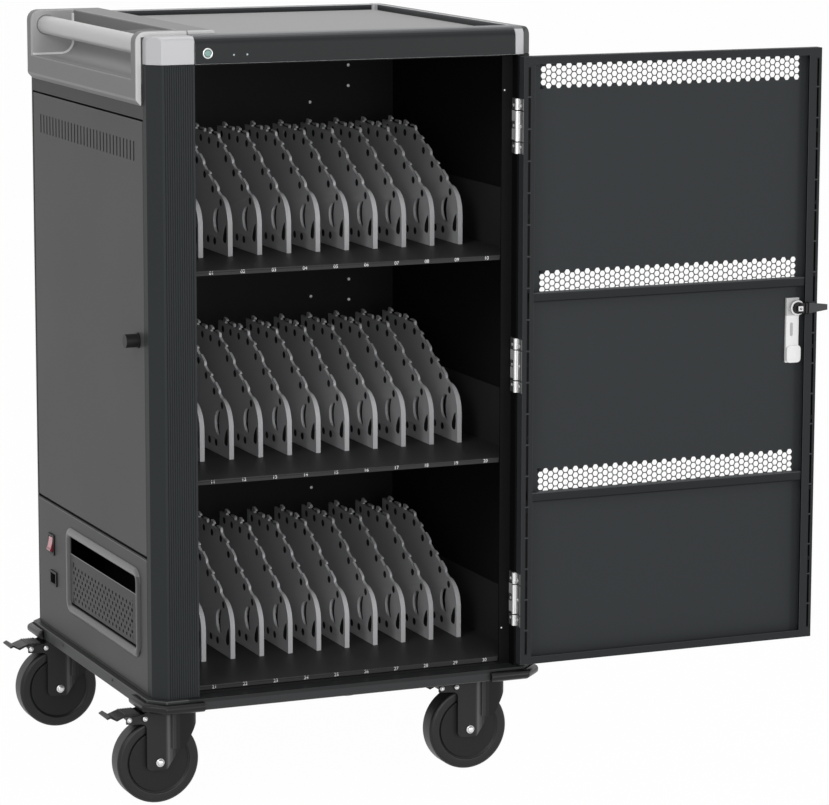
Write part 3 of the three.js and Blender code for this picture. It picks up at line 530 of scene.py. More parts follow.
def fork_layers():
    """The rounded nose of each fork has a painted highlight, a bright streak where it begins, and painted
    shade makes it black where it turns away from the light.
    """
    return [(code, [zone(x=(axle + start, axle + FORK_END)) for axle in FORK_AXLES])
            for start, code in FORK_LIGHT_AND_SHADE]


ROCKER_FRONT = 2.0
ROCKER_REAR = 1.0
ROCKER_END = 5.5


def rocker_layers():
    """Painted light: the rocker's lit face is paler than its lower end and flanks, which are in painted
    shade.
    """
    low, high = node_span("rocker_switch")
    face = zone(y=(low[1] + ROCKER_FRONT, high[1] - ROCKER_REAR), z=over(low[2] + ROCKER_END))
    return [("d07a86", [face])]


# The hand recess: its floor, its rear wall and its right wall
SCOOP_FLOOR = 1124.0
SCOOP_REAR = 560.0
SCOOP_RIGHT = 62.0

RECESS_LEFT = 6.0
RECESS_FRONT = 10.0
RECESS_TOP = 5.0
RECESS_PAST = 2.0
CHEEK_DEPTH = 3.4
FACE_DEPTH = 3.2
STRIP_RIGHT = -2.0
STRIP_HEIGHT = 8.0
HANDLE_JOINT = 72.0
HANDLE_JOINT_HALF = 0.7
HANDLE_JOINT_DEPTH = 12.0


def handle_layers():
    """The housing's front face has a painted highlight as a light strip along its outer edge and painted
    shade further in, with a dark joint on the top; painted light makes the recess and the face at its rear
    end lighter than the belt below."""
    low, high = node_span("handle_housing")
    left, front, top = low[0], low[1], high[2]
    rear = SCOOP_REAR - RECESS_PAST
    recess = zone((left + RECESS_LEFT, SCOOP_RIGHT), (front + RECESS_FRONT, rear),
                  (SCOOP_FLOOR - RECESS_PAST, top - RECESS_TOP))
    cheek = zone((left - PAST, SCOOP_RIGHT), (rear, SCOOP_REAR + CHEEK_DEPTH), over(SCOOP_FLOOR - PAST))
    face = up_to(front + FACE_DEPTH)
    strip = [zone(up_to(STRIP_RIGHT), face), zone(y=face, z=over(top - STRIP_HEIGHT))]
    joint = zone(about(HANDLE_JOINT, HANDLE_JOINT_HALF), up_to(front + HANDLE_JOINT_DEPTH))
    return [("a0a0a0", [recess]), ("b0b0b0", [cheek]), ("4e4e4e", [zone(y=face)]), ("d2d2d2", strip),
            ("505050", [joint])]


CAP_RIGHT = 614.0
CAP_FRONT = 9.0
CAP_TOP = 4.0


def right_cap_layers():
    """The cap is silver, but painted shade leaves only its flat front silver: its top is grey, its outer
    chamfer and side dark.
    """
    low, high = node_span("corner_cap_front_right")
    split = high[2] - CAP_TOP
    top = zone(up_to(CAP_RIGHT), z=over(split))
    front = zone(up_to(CAP_RIGHT), up_to(low[1] + CAP_FRONT), up_to(split))
    return [("6c6e6f", [top]), ("c0c0c2", [front])]


# The hinge pins, and the painted highlights and dark joints on each hinge as spans of height about its middle
HINGE_X, HINGE_Y = 603.0, -0.5
HINGE_MIDDLES = (281.0, 658.5, 1036.0)
KNUCKLE_HALF = (3.6, 5.0)
TAB_SPANS = ((-26.0, -8.0), (4.0, 22.0))
TAB_START = 8.0
LEAF_HIGHLIGHT_SPANS = ((-22.0, -5.0), (7.0, 25.0))
LEAF_HIGHLIGHT_START = 6.0
JOINT_SPANS = (about(-24.6, 0.9), about(24.6, 0.9))
JOINT_END = 5.0


def on_hinges(spans):
    """The spans of height on all three hinges."""
    return [(middle + bottom, middle + top) for middle in HINGE_MIDDLES for bottom, top in spans]


def hinge_layers():
    """Painted highlights make the knuckles bright and lay bright patches on the dull leaves; dark joints part
    the knuckles.
    """
    knuckles = zone(about(HINGE_X, KNUCKLE_HALF[0]), about(HINGE_Y, KNUCKLE_HALF[1]))
    tabs = [zone(x=over(HINGE_X + TAB_START), z=tall) for tall in on_hinges(TAB_SPANS)]
    leaf_highlights = [zone(y=over(HINGE_Y + LEAF_HIGHLIGHT_START), z=tall) for tall in on_hinges(LEAF_HIGHLIGHT_SPANS)]
    joints = [zone(x=up_to(HINGE_X + JOINT_END), z=tall) for tall in on_hinges(JOINT_SPANS)]
    return [("f2f2f2", [knuckles, *tabs, *leaf_highlights]), ("141414", joints)]


# The latch spindle, and zones about it
LATCH_X, LATCH_Z = 1099.0, 724.0
LOCK_UPPER = 13.0
BOSS_RADIUS = 9.0
NUT_HALF = 4.6
NUT_DEPTH = 2.6


def lock_layers():
    """The plate is greyer round the spindle than on its shank and foot."""
    return [("c0c0c0", [zone(z=over(LATCH_Z - LOCK_UPPER))])]


def latch_layers():
    """The square end of the spindle is bright, the boss round it black and the arm dark."""
    depth = up_to(node_span("latch_cam")[0][1] + NUT_DEPTH)
    nut = zone(about(LATCH_X, NUT_HALF), depth, about(LATCH_Z, NUT_HALF))
    return [("0c0c0c", [zone(x=up_to(LATCH_X + BOSS_RADIUS))]), ("ececec", [nut])]


DRAWN = (1, 1, 0.1)
DOOR_COAT = finish("door_coat", "323537", 0.55, specular=0.12, layers=door_layers())
BAND_COAT = finish("band_coat", "303335", 0.55, specular=0.12)
RIB_COAT = finish("rib_coat", "242628", 0.5, specular=0.12, layers=rib_layers())
FLANGE_COAT = finish("flange_coat", "3a3c3e", 0.55, specular=0.12)
# Painted highlight along the door's rounded edges
DOOR_EDGE_HIGHLIGHT = finish("door_edge_highlight", "46484a", 0.5, specular=0.2, layers=door_edge_layers())
POST_COAT = finish("post_coat", "2e3132", 0.5, specular=0.12, stretch=(1, 1, 0.06))
SHELL_COAT = finish("shell_coat", "262829", 0.55, specular=0.1, layers=shell_layers())
BASE_COAT = finish("base_coat", "343536", 0.45, specular=0.2, layers=base_layers())
# Painted highlight along the base's rounded edges
BASE_EDGE_HIGHLIGHT = finish("base_edge_highlight", "585858", 0.45, specular=0.2, layers=base_layers())
SIDE_COAT = finish("side_coat", "494949", 0.5, specular=0.2, layers=side_layers())
PANEL_COAT = finish("panel_coat", "3c3c3c", 0.5, specular=0.2, layers=panel_layers())
SHELF_COAT = finish("shelf_coat", "343435", 0.5, specular=0.15)
DIVIDER_PLASTIC = finish("divider_plastic", "bcbcbe", 0.55, grain=700, spread=0.08, specular=0.2)
BAR_PLASTIC = finish("bar_plastic", "1f2223", 0.4, grain=1400, bump=0.03, specular=0.2, layers=bar_layers())
# Painted highlight along the bar's rounded edges
BAR_EDGE_HIGHLIGHT = finish("bar_edge_highlight", "d8d8da", 0.4, grain=1400, specular=0.4)
TRAY_PLASTIC = finish("tray_plastic", "a0a0a0", 0.6, grain=1600, bump=0.08, specular=0.25)
HANDLE_PLASTIC = finish("handle_plastic", "828282", 0.55, grain=1600, bump=0.07, specular=0.3,
                        layers=handle_layers())
# Painted highlight along the handle's rounded edges
HANDLE_EDGE_HIGHLIGHT = finish("handle_edge_highlight", "929292", 0.5, grain=1600, specular=0.3, layers=handle_layers())
GRIP_PLASTIC = finish("grip_plastic", "c6c6c6", 0.32, grain=1600, bump=0.04)
SILVER_PAINT = finish("silver_paint", "c0c0c2", 0.4, grain=2600, spread=0.05, metallic=0.1, specular=0.3)
# A silver cap's finish, darkened by painted shade everywhere but its front
SHADED_CAP_SILVER = finish("shaded_cap_silver", "2f3233", 0.4, grain=2600, spread=0.05, specular=0.3,
                      layers=right_cap_layers())
BEZEL_PLASTIC = finish("bezel_plastic", "525252", 0.32, grain=1600, bump=0.04, layers=bezel_layers())
# Painted highlight: white on the bead round the hand recess
RIM_HIGHLIGHT = finish("rim_highlight", "f0f0f0", 0.4, grain=1600, bump=0.04, specular=0.4)
RUBBER = finish("bumper_rubber", "101010", 0.34, grain=1100, spread=0.12, specular=0.3)
TYRE_RUBBER = finish("tyre_rubber", "1c1c1c", 0.4, grain=1300, spread=0.15, bump=0.08, specular=0.3)
HUB_PLASTIC = finish("hub_plastic", "242424", 0.45, grain=1200, spread=0.08, specular=0.15)
FORK_COAT = finish("fork_coat", "282828", 0.4, specular=0.2, layers=fork_layers())
MOUNT_COAT = finish("mount_coat", "1c1c1c", 0.45, specular=0.2)
STEEL = finish("bright_steel", "d8d8d8", 0.3, grain=500, spread=0.1, metallic=0.9, stretch=DRAWN)
HINGE_STEEL = finish("hinge_steel", "6c6c6c", 0.25, grain=500, spread=0.08, metallic=0.5, stretch=DRAWN,
                     layers=hinge_layers())
ZINC = finish("zinc_screw", "e4e4e4", 0.28, spread=0.12, metallic=0.6)
LOCK_SILVER = finish("lock_silver", "eeeeee", 0.4, grain=1400, spread=0.05, specular=0.3,
                     layers=lock_layers())
RING_WHITE = finish("ring_white", "f0f0f0", 0.35, grain=1400, spread=0.04, specular=0.3)
RIVET_WHITE = finish("rivet_white", "fafafa", 0.35, spread=0.04)
LOCK_GREY = finish("lock_grey", "b4b4b4", 0.45, grain=1400, spread=0.05, specular=0.3)
BLACK_PLASTIC = finish("black_plastic", "171717", 0.45, grain=1200, specular=0.2)
PEDAL_BLACK = finish("pedal_black", "1a1a1a", 0.4, grain=1200, specular=0.3)
DARK_STEEL = finish("dark_steel", "2b2b2b", 0.4, grain=800, specular=0.3)
LATCH_STEEL = finish("latch_steel", "3c3d3e", 0.4, grain=800, specular=0.25, layers=latch_layers())
GAP_BLACK = finish("gap_black", "070707", 0.5, grain=800, specular=0.1)
ROCKER_RED = finish("rocker_red", "8a1c30", 0.25, grain=600, spread=0.12, bump=0.02, coat=0.4,
                    layers=rocker_layers())
BUTTON_GLASS = finish("button_glass", "7fa39c", 0.25, grain=500, spread=0.1, bump=0.02, coat=0.4)
LAMP_WHITE = finish("lamp_white", "b9c4c4", 0.3)
NUMBER_INK = finish("number_ink", "e6e6e6", 0.6, grain=2400, bump=0.02)

# Finishes of the solids, and how far their edges are rounded over

SMOOTH_LIMIT = math.radians(38)
FLAT_LIMIT = math.radians(0.4)
EDGE_LIMIT = math.radians(40)
EDGE_SEGMENTS = 2
WELD_REACH = 0.00001


def make_smooth_group():
    """Geometry nodes that shade faces smooth and keep edges over a limit sharp."""
    group = bpy.data.node_groups.new("smooth_by_angle", "GeometryNodeTree")
    for side in ("INPUT", "OUTPUT"):
        group.interface.new_socket("Geometry", in_out=side, socket_type="NodeSocketGeometry")
    given = group.nodes.new("NodeGroupInput")
    out = group.nodes.new("NodeGroupOutput")
    angle = group.nodes.new("GeometryNodeInputMeshEdgeAngle")
    soft = group.nodes.new("FunctionNodeCompare")
    soft.data_type = "FLOAT"
    soft.operation = "LESS_THAN"
    soft.inputs[1].default_value = SMOOTH_LIMIT
    group.links.new(angle.outputs[0], soft.inputs[0])
    edges = group.nodes.new("GeometryNodeSetShadeSmooth")
    edges.domain = "EDGE"
    faces = group.nodes.new("GeometryNodeSetShadeSmooth")
    faces.domain = "FACE"
    group.links.new(given.outputs[0], edges.inputs["Geometry"])
    group.links.new(soft.outputs[0], edges.inputs["Shade Smooth"])
    group.links.new(edges.outputs[0], faces.inputs["Geometry"])
    faces.inputs["Shade Smooth"].default_value = True
    group.links.new(faces.outputs[0], out.inputs[0])
    return group


SMOOTH = make_smooth_group()


def soften(item, width):
    """Welds loose triangles, joins flat neighbours, rounds sharp edges over and shades the rest smooth.
    The rounded edges take the last material, which is a lighter painted highlight where dress adds one."""
    weld = item.modifiers.new("weld", "WELD")
    weld.merge_threshold = WELD_REACH
    if width > 0:
        flat = item.modifiers.new("join_flat", "DECIMATE")
        flat.decimate_type = "DISSOLVE"
        flat.angle_limit = FLAT_LIMIT
        edge = item.modifiers.new("round_edges", "BEVEL")
        edge.width = width * MM
        edge.segments = EDGE_SEGMENTS
        edge.limit_method = "ANGLE"
        edge.angle_limit = EDGE_LIMIT
        edge.material = len(item.data.materials) - 1
    smooth = item.modifiers.new("smooth", "NODES")
    smooth.node_group = SMOOTH
    normals = item.modifiers.new("face_normals", "WEIGHTED_NORMAL")
    normals.keep_sharp = True


def dress(node, material, width, edge):
    """Gives a solid its finish, its rounded edges and, where one is named, a lighter finish along them as a
    painted highlight.
    """
    item = NODES[node]
    item.data.materials.clear()
    item.data.materials.append(material)
    if edge:
        item.data.materials.append(edge)
    soften(item, width)


HINGE_LEAVES = ["hinge_%s_%s" % (part, level) for part in ("frame", "door") for level in LEVELS]

# Nodes, their finish, how wide their edges are rounded in millimetres, and a lighter finish along the edges
# as a painted highlight
for names, material, width, edge in (
    (["base_frame"], BASE_COAT, 1.2, BASE_EDGE_HIGHLIGHT),
    (["bumper_" + corner for corner in CORNERS], RUBBER, 4.5, None),
    (["cabinet_shell"], SHELL_COAT, 0.5, None),
    (["front_left_post"], POST_COAT, 0.25, None),
    (["top_tray"], TRAY_PLASTIC, 0.8, None),
    (["control_bar", "rail_right", "rail_rear"], BAR_PLASTIC, 0.8, BAR_EDGE_HIGHLIGHT),
    (["corner_cap_front_left", "corner_cap_rear_right"], SILVER_PAINT, 1.5, None),
    (["corner_cap_front_right"], SHADED_CAP_SILVER, 1.5, None),
    (["handle_housing"], HANDLE_PLASTIC, 3.0, HANDLE_EDGE_HIGHLIGHT),
    (["handle_grip"], GRIP_PLASTIC, 0, None),
    (["side_access_door", "lower_side_panel"], SIDE_COAT, 0.5, None),
    (["pocket_bezel"], BEZEL_PLASTIC, 1.2, None),
    (["side_lock_knob"], BLACK_PLASTIC, 0.8, None),
    (["side_lock_cam"], STEEL, 0.4, None),
    (["switch_frame", "power_inlet"], BLACK_PLASTIC, 0.5, None),
    (["rocker_switch"], ROCKER_RED, 0.6, None),
    (["power_strip_" + level for level in LEVELS], BLACK_PLASTIC, 0.8, None),
    (["power_button"], BUTTON_GLASS, 0.6, None),
    (["front_door"], DOOR_COAT, 0.6, DOOR_EDGE_HIGHLIGHT),
    (["door_rib_lower", "door_rib_upper"], RIB_COAT, 0.8, None),
    (["lock_plate"], LOCK_SILVER, 0.9, None),
    (["latch_cam"], LATCH_STEEL, 0.4, None),
    (["door_lever"], BLACK_PLASTIC, 1.5, None),
    (HINGE_LEAVES, HINGE_STEEL, 0.2, None),
    (["caster_mount_" + corner for corner in CORNERS], MOUNT_COAT, 0.6, None),
    (["caster_fork_" + corner for corner in CORNERS], FORK_COAT, 0.8, None),
    (["caster_pedal_" + corner for corner in CORNERS], PEDAL_BLACK, 0.6, None),
):
    for name in names:
        dress(name, material, width, edge)

# Mesh helpers: whole arrays of points and faces


def grid_faces(rows, columns, wrap_rows=False, wrap_columns=False):
    """Quads of a grid of points counted row by row, closed on itself where it wraps."""
    r = np.arange(rows if wrap_rows else rows - 1)[:, None]
    c = np.arange(columns if wrap_columns else columns - 1)[None, :]
    r2, c2 = (r + 1) % rows, (c + 1) % columns
    corners = np.broadcast_arrays(r * columns + c, r * columns + c2, r2 * columns + c2, r2 * columns + c)
    return np.stack(corners, axis=-1).reshape(-1, 4)


def join(parts):
    """Several (points, faces) pairs as one, with the faces counted on. Faces are one array or a list."""
    groups, start = [], 0
    for points, faces in parts:
        groups += [face + start for face in (faces if isinstance(faces, list) else [faces])]
        start += len(points)
    return np.concatenate([points for points, _ in parts]), groups


def repeat(points, faces, shifts):
    """The same shape at each of the shifts."""
    moved = (points[None] + shifts[:, None]).reshape(-1, 3)
    starts = np.arange(len(shifts)) * len(points)
    return moved, (faces[None] + starts[:, None, None]).reshape(-1, faces.shape[1])


def revolve(profile, steps):
    """A profile of (radius, along) pairs turned about the X axis, along lying on X. An end at radius 0
    closes it."""
    turn = (np.arange(steps) * 2 * math.pi / steps)[:, None]
    radius, along = profile[None, :, 0], profile[None, :, 1]
    points = np.broadcast_arrays(along, radius * np.cos(turn), radius * np.sin(turn))
    return np.stack(points, axis=-1).reshape(-1, 3), grid_faces(steps, len(profile), wrap_rows=True)


def turned(points, axis):
    """Shapes made along +X are turned to lie along another axis, given as a sign and a letter."""
    x, y, z = points.T
    spread = {"+X": (x, y, z), "-X": (-x, -y, z), "+Y": (-y, x, z), "-Y": (y, -x, z)}
    return np.stack(spread[axis], axis=1)


def facing_front(flat):
    """A flat shape's (across, up, through) points stood upright, to be read from the front."""
    across, up, through = flat.T
    return np.stack([across, -through, up], axis=1)


def piece(name, points, faces, body, material, slot, bevel=0.0):
    """A mesh from arrays in metres, in the frame, riding on a body."""
    mesh = bpy.data.meshes.new(name)
    groups = faces if isinstance(faces, list) else [faces]
    mesh.from_pydata(points.tolist(), [], [face for group in groups for face in group.tolist()])
    mesh.materials.append(material)
    item = bpy.data.objects.new(name, mesh)
    bpy.context.scene.collection.objects.link(item)
    soften(item, bevel)
    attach(item, body)
    return item


def shape_arrays(data):
    """A curve's or text's mesh as points and triangles; the curve itself is removed."""
    item = bpy.data.objects.new("shape", data)
    bpy.context.scene.collection.objects.link(item)
    shown = item.evaluated_get(bpy.context.evaluated_depsgraph_get())
    mesh = shown.to_mesh()
    points = np.zeros(len(mesh.vertices) * 3)
    mesh.vertices.foreach_get("co", points)
    mesh.calc_loop_triangles()
    triangles = np.zeros(len(mesh.loop_triangles) * 3, np.int32)
    mesh.loop_triangles.foreach_get("vertices", triangles)
    shown.to_mesh_clear()
    bpy.data.objects.remove(item)
    bpy.data.curves.remove(data)
    return points.reshape(-1, 3), triangles.reshape(-1, 3)


def flat_shape(outlines, thick, bevel):
    """Closed outlines in a plane, the first one filled and the others holes in it, given a thickness
    with rounded edges: returned as points (across, up, through) and triangles."""
    data = bpy.data.curves.new("outline", "CURVE")
    data.dimensions = "2D"
    data.fill_mode = "BOTH"
    data.extrude = thick / 2 - bevel
    data.bevel_depth = bevel
    data.bevel_resolution = 1
    data.offset = -bevel
    for outline in outlines:
        spline = data.splines.new("POLY")
        spline.points.add(len(outline) - 1)
        level, weight = np.zeros(len(outline)), np.ones(len(outline))
        flat = np.column_stack([outline, level, weight])
        spline.points.foreach_set("co", flat.astype(np.float32).ravel())
        spline.use_cyclic_u = True
    return shape_arrays(data)


def word_shape(words, height, half_thick):
    """Figures as flat shapes of that height, centred."""
    data = bpy.data.curves.new("words", "FONT")
    data.body = words
    data.size = height
    data.align_x = "CENTER"
    data.align_y = "CENTER"
    data.extrude = half_thick
    return shape_arrays(data)


def circle(across, up, radius, count, from_degrees=0.0, to_degrees=360.0):
    """Points on a circle or an arc of it; a whole circle leaves out its repeated end."""
    whole = abs(to_degrees - from_degrees) == 360.0
    angle = np.radians(np.linspace(from_degrees, to_degrees, count, endpoint=not whole))
    return np.stack([across + radius * np.cos(angle), up + radius * np.sin(angle)], axis=1)


def slab(low, high):
    """A block between two corners in millimetres, as eight points and six quads."""
    pick = np.array([[i & 1, i >> 1 & 1, i >> 2] for i in range(8)])
    corners = np.stack([place(*low), place(*high)])
    points = np.stack([corners[pick[:, k], k] for k in range(3)], axis=1)
    quads = [(0, 2, 3, 1), (4, 5, 7, 6), (0, 1, 5, 4), (2, 6, 7, 3), (0, 4, 6, 2), (1, 3, 7, 5)]
    return points, np.array(quads)


def prism(outline, thick):
    """A flat closed outline of (across, up) points, given a thickness to the rear."""
    count = len(outline)
    rings = [np.column_stack([outline[:, 0], np.full(count, depth), outline[:, 1]]) for depth in (0.0, thick)]
    step = np.arange(count)
    after = (step + 1) % count
    walls = np.stack([after, step, step + count, after + count], axis=1)
    return np.concatenate(rings), [step[None], step[::-1][None] + count, walls]


# Shelves: folded pans and a row of hooked dividers on each

LIP_HEIGHT = 7.5
SHELF_SHEET = 2.5
SHELF_BEVEL = 0.4
UPSTAND = 96.0
UPSTAND_START = 10.0
JAMB_FLANGE = 46.0

DIVIDER_COUNT = 10
DIVIDER_FIRST = 139.5
DIVIDER_LAST = 582.0
DIVIDER_THICK = 8.0
DIVIDER_BEVEL = 0.5
DIVIDER_FRONT = 170.0
DIVIDER_DEPTH = 322.0
DIVIDER_NOSE = 47.0
DIVIDER_NOSE_POINTS = 12
SLOPE_FROM = (42.0, 92.5)
SLOPE_TO = (187.0, 170.0)
CREST = 173.0
DIVIDER_SLIM = 0.55
SLIM_START = 8.0

# Fingers: places along the edge, and outlines as (depth, height) from there
HOOK_SPOTS = (52.0, 87.0, 118.0, 152.0, 182.0, 216.0, 248.0, 282.0)
REAR_HOOK = np.array([
    (0, 0), (0, 3.6), (0.8, 5.0), (3, 6.0), (18, 5.8), (20, 5.0), (20, 3.4), (19, 2.8), (6, 2.6), (5, 1.9),
    (5, 0)])
FRONT_HOOK = np.array([
    (7, 0), (7, 2.6), (6, 3.4), (0.8, 3.8), (0, 4.6), (0.6, 6.2), (2.5, 7.4), (9, 9.0), (13, 9.4), (17, 0)])

# Holes behind the nose, as (depth, height) on the divider
DROP_HOLE = np.array([
    (10, 20), (15, 19), (20, 19.5), (24.5, 21), (25.5, 24), (24, 31), (17, 42), (9, 49), (7.4, 47), (6.5, 35),
    (7.6, 24)])
CRESCENT_HOLE = np.array([
    (47, 31.5), (57, 31), (64.5, 34), (70, 41), (72, 50), (70, 59), (64.5, 66), (56, 70.5), (46, 71),
    (49.5, 63), (52, 52), (50.5, 40)])
SHADOW_EDGE = np.array([(52, 33), (55.5, 41), (57, 52), (55, 62), (51, 69)])

# Which of the crescent's points is its upper horn
UPPER_HORN = 8

# Moulded pockets: ovals under the fingers and along the foot, filled black as painted shade
OVAL_HALF = (6.6, 6.0)
OVAL_POINTS = 12
POCKET_SPOTS = (36.0, 74.0, 111.0, 147.0, 183.0, 225.0, 264.0, 300.0)
POCKET_DROP = 11.5
FOOT_SPOTS = (66.0, 97.0, 128.0, 159.0, 190.0, 221.0, 252.0, 283.0)
FOOT_HEIGHT = 16.5
SHADE_INSET = 0.8
SHADE_BEVEL = 0.1


def divider_edge(y):
    """Height of the divider's sloping and level top edge at a depth behind its front."""
    return np.interp(y, [SLOPE_FROM[0], SLOPE_TO[0], DIVIDER_DEPTH], [SLOPE_FROM[1], SLOPE_TO[1], CREST])


def hook_outline(y, to_rear):
    """A finger over the edge: to the rear it lies along the edge above a narrow slot, to the front it juts
    out level, with both its ends on the edge."""
    back, rise = (REAR_HOOK if to_rear else FRONT_HOOK).T
    edge = divider_edge(y + back)
    level = edge if to_rear else np.where(rise > 0, divider_edge(y), edge)
    return np.stack([y + back, level + rise], axis=1)


def divider_outline():
    """Front edge, quarter-ellipse nose, then a slope whose fingers lean to the rear and front by turns."""
    angle = np.radians(np.linspace(0, 90, DIVIDER_NOSE_POINTS))
    nose = np.stack([
        SLOPE_FROM[0] * (1 - np.cos(angle)),
        DIVIDER_NOSE + (SLOPE_FROM[1] - DIVIDER_NOSE) * np.sin(angle)], axis=1)
    fingers = [hook_outline(y, i % 2 == 0) for i, y in enumerate(HOOK_SPOTS)]
    return np.concatenate([[(0.0, 0.0)], nose, *fingers, [(DIVIDER_DEPTH, CREST), (DIVIDER_DEPTH, 0.0)]])


def pocket_outlines():
    """Ellipses a set way under the top edge, then others along the foot."""
    oval = circle(0, 0, 1, OVAL_POINTS) * OVAL_HALF
    upper = [oval + (y, divider_edge(y) - POCKET_DROP) for y in POCKET_SPOTS]
    return upper + [oval + (y, FOOT_HEIGHT) for y in FOOT_SPOTS]


def shadow_outlines():
    """Painted shade in the through holes, as black fills: the whole drop, and the front part of the crescent.
    """
    return [DROP_HOLE, np.concatenate([CRESCENT_HOLE[UPPER_HORN:], CRESCENT_HOLE[:1], SHADOW_EDGE])]


def divider_points(flat):
    """A divider's flat points stood upright: full thickness at its front, slimmer evenly over the nose, then
    the same slim share to the back."""
    depth, up, through = flat.T
    slim = np.interp(depth / MM, [SLIM_START, SLOPE_FROM[0] + SLIM_START], [1.0, DIVIDER_SLIM])
    return np.stack([through * slim, depth, up], axis=1)


def shelf_pan(low, high, surface):
    """A level sheet, a lip in front that ends at the jamb, and an upstand at each side."""
    lip_end = node_span("cabinet_shell")[1][0] - JAMB_FLANGE
    under = surface - SHELF_SHEET
    top = surface + UPSTAND
    start = low[1] + UPSTAND_START
    return join([
        slab((low[0], low[1], under), (high[0], high[1], surface)),
        slab(low, (lip_end, low[1] + SHELF_SHEET, under)),
        slab((low[0], start, surface), (low[0] + SHELF_SHEET, high[1], top)),
        slab((high[0] - SHELF_SHEET, start, surface), (high[0], high[1], top)),
    ])


def make_shelves():
    """Pans folded from sheet, and dividers as one repeated flat shape that thins out over its nose; black
    fills in its holes and pockets are painted shade.
    """
    pockets = pocket_outlines()
    outlines = [outline * MM for outline in [divider_outline(), DROP_HOLE, CRESCENT_HOLE, *pockets]]
    flat, triangles = flat_shape(outlines, DIVIDER_THICK * MM, DIVIDER_BEVEL * MM)
    shade_thick = (DIVIDER_THICK - SHADE_INSET) * MM
    shade_flat, shade_groups = join([
        flat_shape([outline * MM], shade_thick, SHADE_BEVEL * MM) for outline in pockets + shadow_outlines()])
    shade_faces = np.concatenate(shade_groups)
    across = np.linspace(DIVIDER_FIRST, DIVIDER_LAST, DIVIDER_COUNT)
    for level in LEVELS:
        low, high = node_span("shelf_" + level)
        surface = low[2] + LIP_HEIGHT
        shifts = np.stack([place(x, DIVIDER_FRONT, surface) for x in across])
        dividers = repeat(divider_points(flat), triangles, shifts)
        piece("dividers_" + level, *dividers, "cabinet", DIVIDER_PLASTIC, "shelf_paint")
        # Black fills in the pockets and holes are painted shade
        shade_fills = repeat(divider_points(shade_flat), shade_faces, shifts)
        piece("divider_pocket_shade_" + level, *shade_fills, "cabinet", BLACK_PLASTIC, "black_plastic")
        pan = shelf_pan(low, high, surface)
        shelf = piece("shelf_pan_" + level, *pan, "cabinet", SHELF_COAT, "shelf_paint", SHELF_BEVEL)
        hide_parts("shelf_" + level)


make_shelves()

# Bay numbers on the shelf lips

NUMBER_FIRST = 104.0
NUMBER_PITCH = 51.0
NUMBER_HEIGHT = 7.8
NUMBER_PROUD = 0.1
INK_HALF = 0.08


def make_numbers():
    """Counting numbers, one under each bay, from the top shelf down."""
    for shelf, level in enumerate(reversed(LEVELS)):
        low, _ = node_span("shelf_" + level)
        parts = []
        for bay in range(DIVIDER_COUNT):
            words = "%02d" % (shelf * DIVIDER_COUNT + bay + 1)
            flat, triangles = word_shape(words, NUMBER_HEIGHT * MM, INK_HALF * MM)
            centre = place(NUMBER_FIRST + bay * NUMBER_PITCH, low[1] - NUMBER_PROUD, low[2] + LIP_HEIGHT / 2)
            parts.append((facing_front(flat) + centre, triangles))
        piece("bay_numbers_" + level, *join(parts), "cabinet", NUMBER_INK, "silver_trim")


make_numbers()

# Perforated sheets: the door's three bands and the cable pocket's panel

CELL_POINTS = 12

# A hexagon's flats are this share of its points' reach from the middle
FLATS = math.cos(math.pi / 6)

BAND_COLUMNS = 52
BAND_ROWS = 4
BAND_HOLE = 5.15
BAND_CORNER = 0.96
BAND_SHEET = 0.7
BAND_HEIGHT = 41.0
BAND_CENTRES = {"lower": 469.8, "middle": 786.6, "upper": 1113.1}
BAND_LEFT = 641.3
BAND_RIGHT = 1101.0
DOOR_SKIN = 1.5

BRIDGE_FIRST = 56.0
BRIDGE_LAST = 20.0
BRIDGE_PITCH = 50.0
BRIDGE_HALF_WIDTH = 3.0
BRIDGE_HALF_HEIGHT = 1.2
BRIDGE_PROUD = 0.3
BRIDGE_SUNK = 0.1

POCKET_COLUMNS = 35
POCKET_ROWS = 4
POCKET_PITCH = 8.6
POCKET_STEP = 17.1
POCKET_HOLE = 3.0
POCKET_SHEET = 0.6
POCKET_FIRST = 110.7
POCKET_CENTRE = 275.5
SHADE_SHEET_GAP = 0.6
SHADE_SHEET_THICK = 0.3
SHADE_SHEET_DROP = 4.0


def hexagon(size, corner=1.0):
    """Points round a hexagon that points to the sides; a corner share under 1 rounds its points off."""
    step = np.arange(CELL_POINTS)
    angle = step * 2 * math.pi / CELL_POINTS
    reach = size * np.where(step % 2 == 0, corner, FLATS)
    return np.stack([reach * np.cos(angle), reach * np.sin(angle)], axis=1)


def hex_ring(size, hole, thick, corner, squash):
    """One honeycomb cell: rings of points go over the front, through the hole and back over the rear."""
    outer, inner = hexagon(size), hexagon(hole, corner) * (1.0, squash)
    rings = ((outer, 0.0), (inner, 0.0), (inner, thick), (outer, thick))
    points = [np.column_stack([ring[:, 0], np.full(CELL_POINTS, depth), ring[:, 1]]) for ring, depth in rings]
    return np.concatenate(points), grid_faces(len(rings), CELL_POINTS, wrap_columns=True)


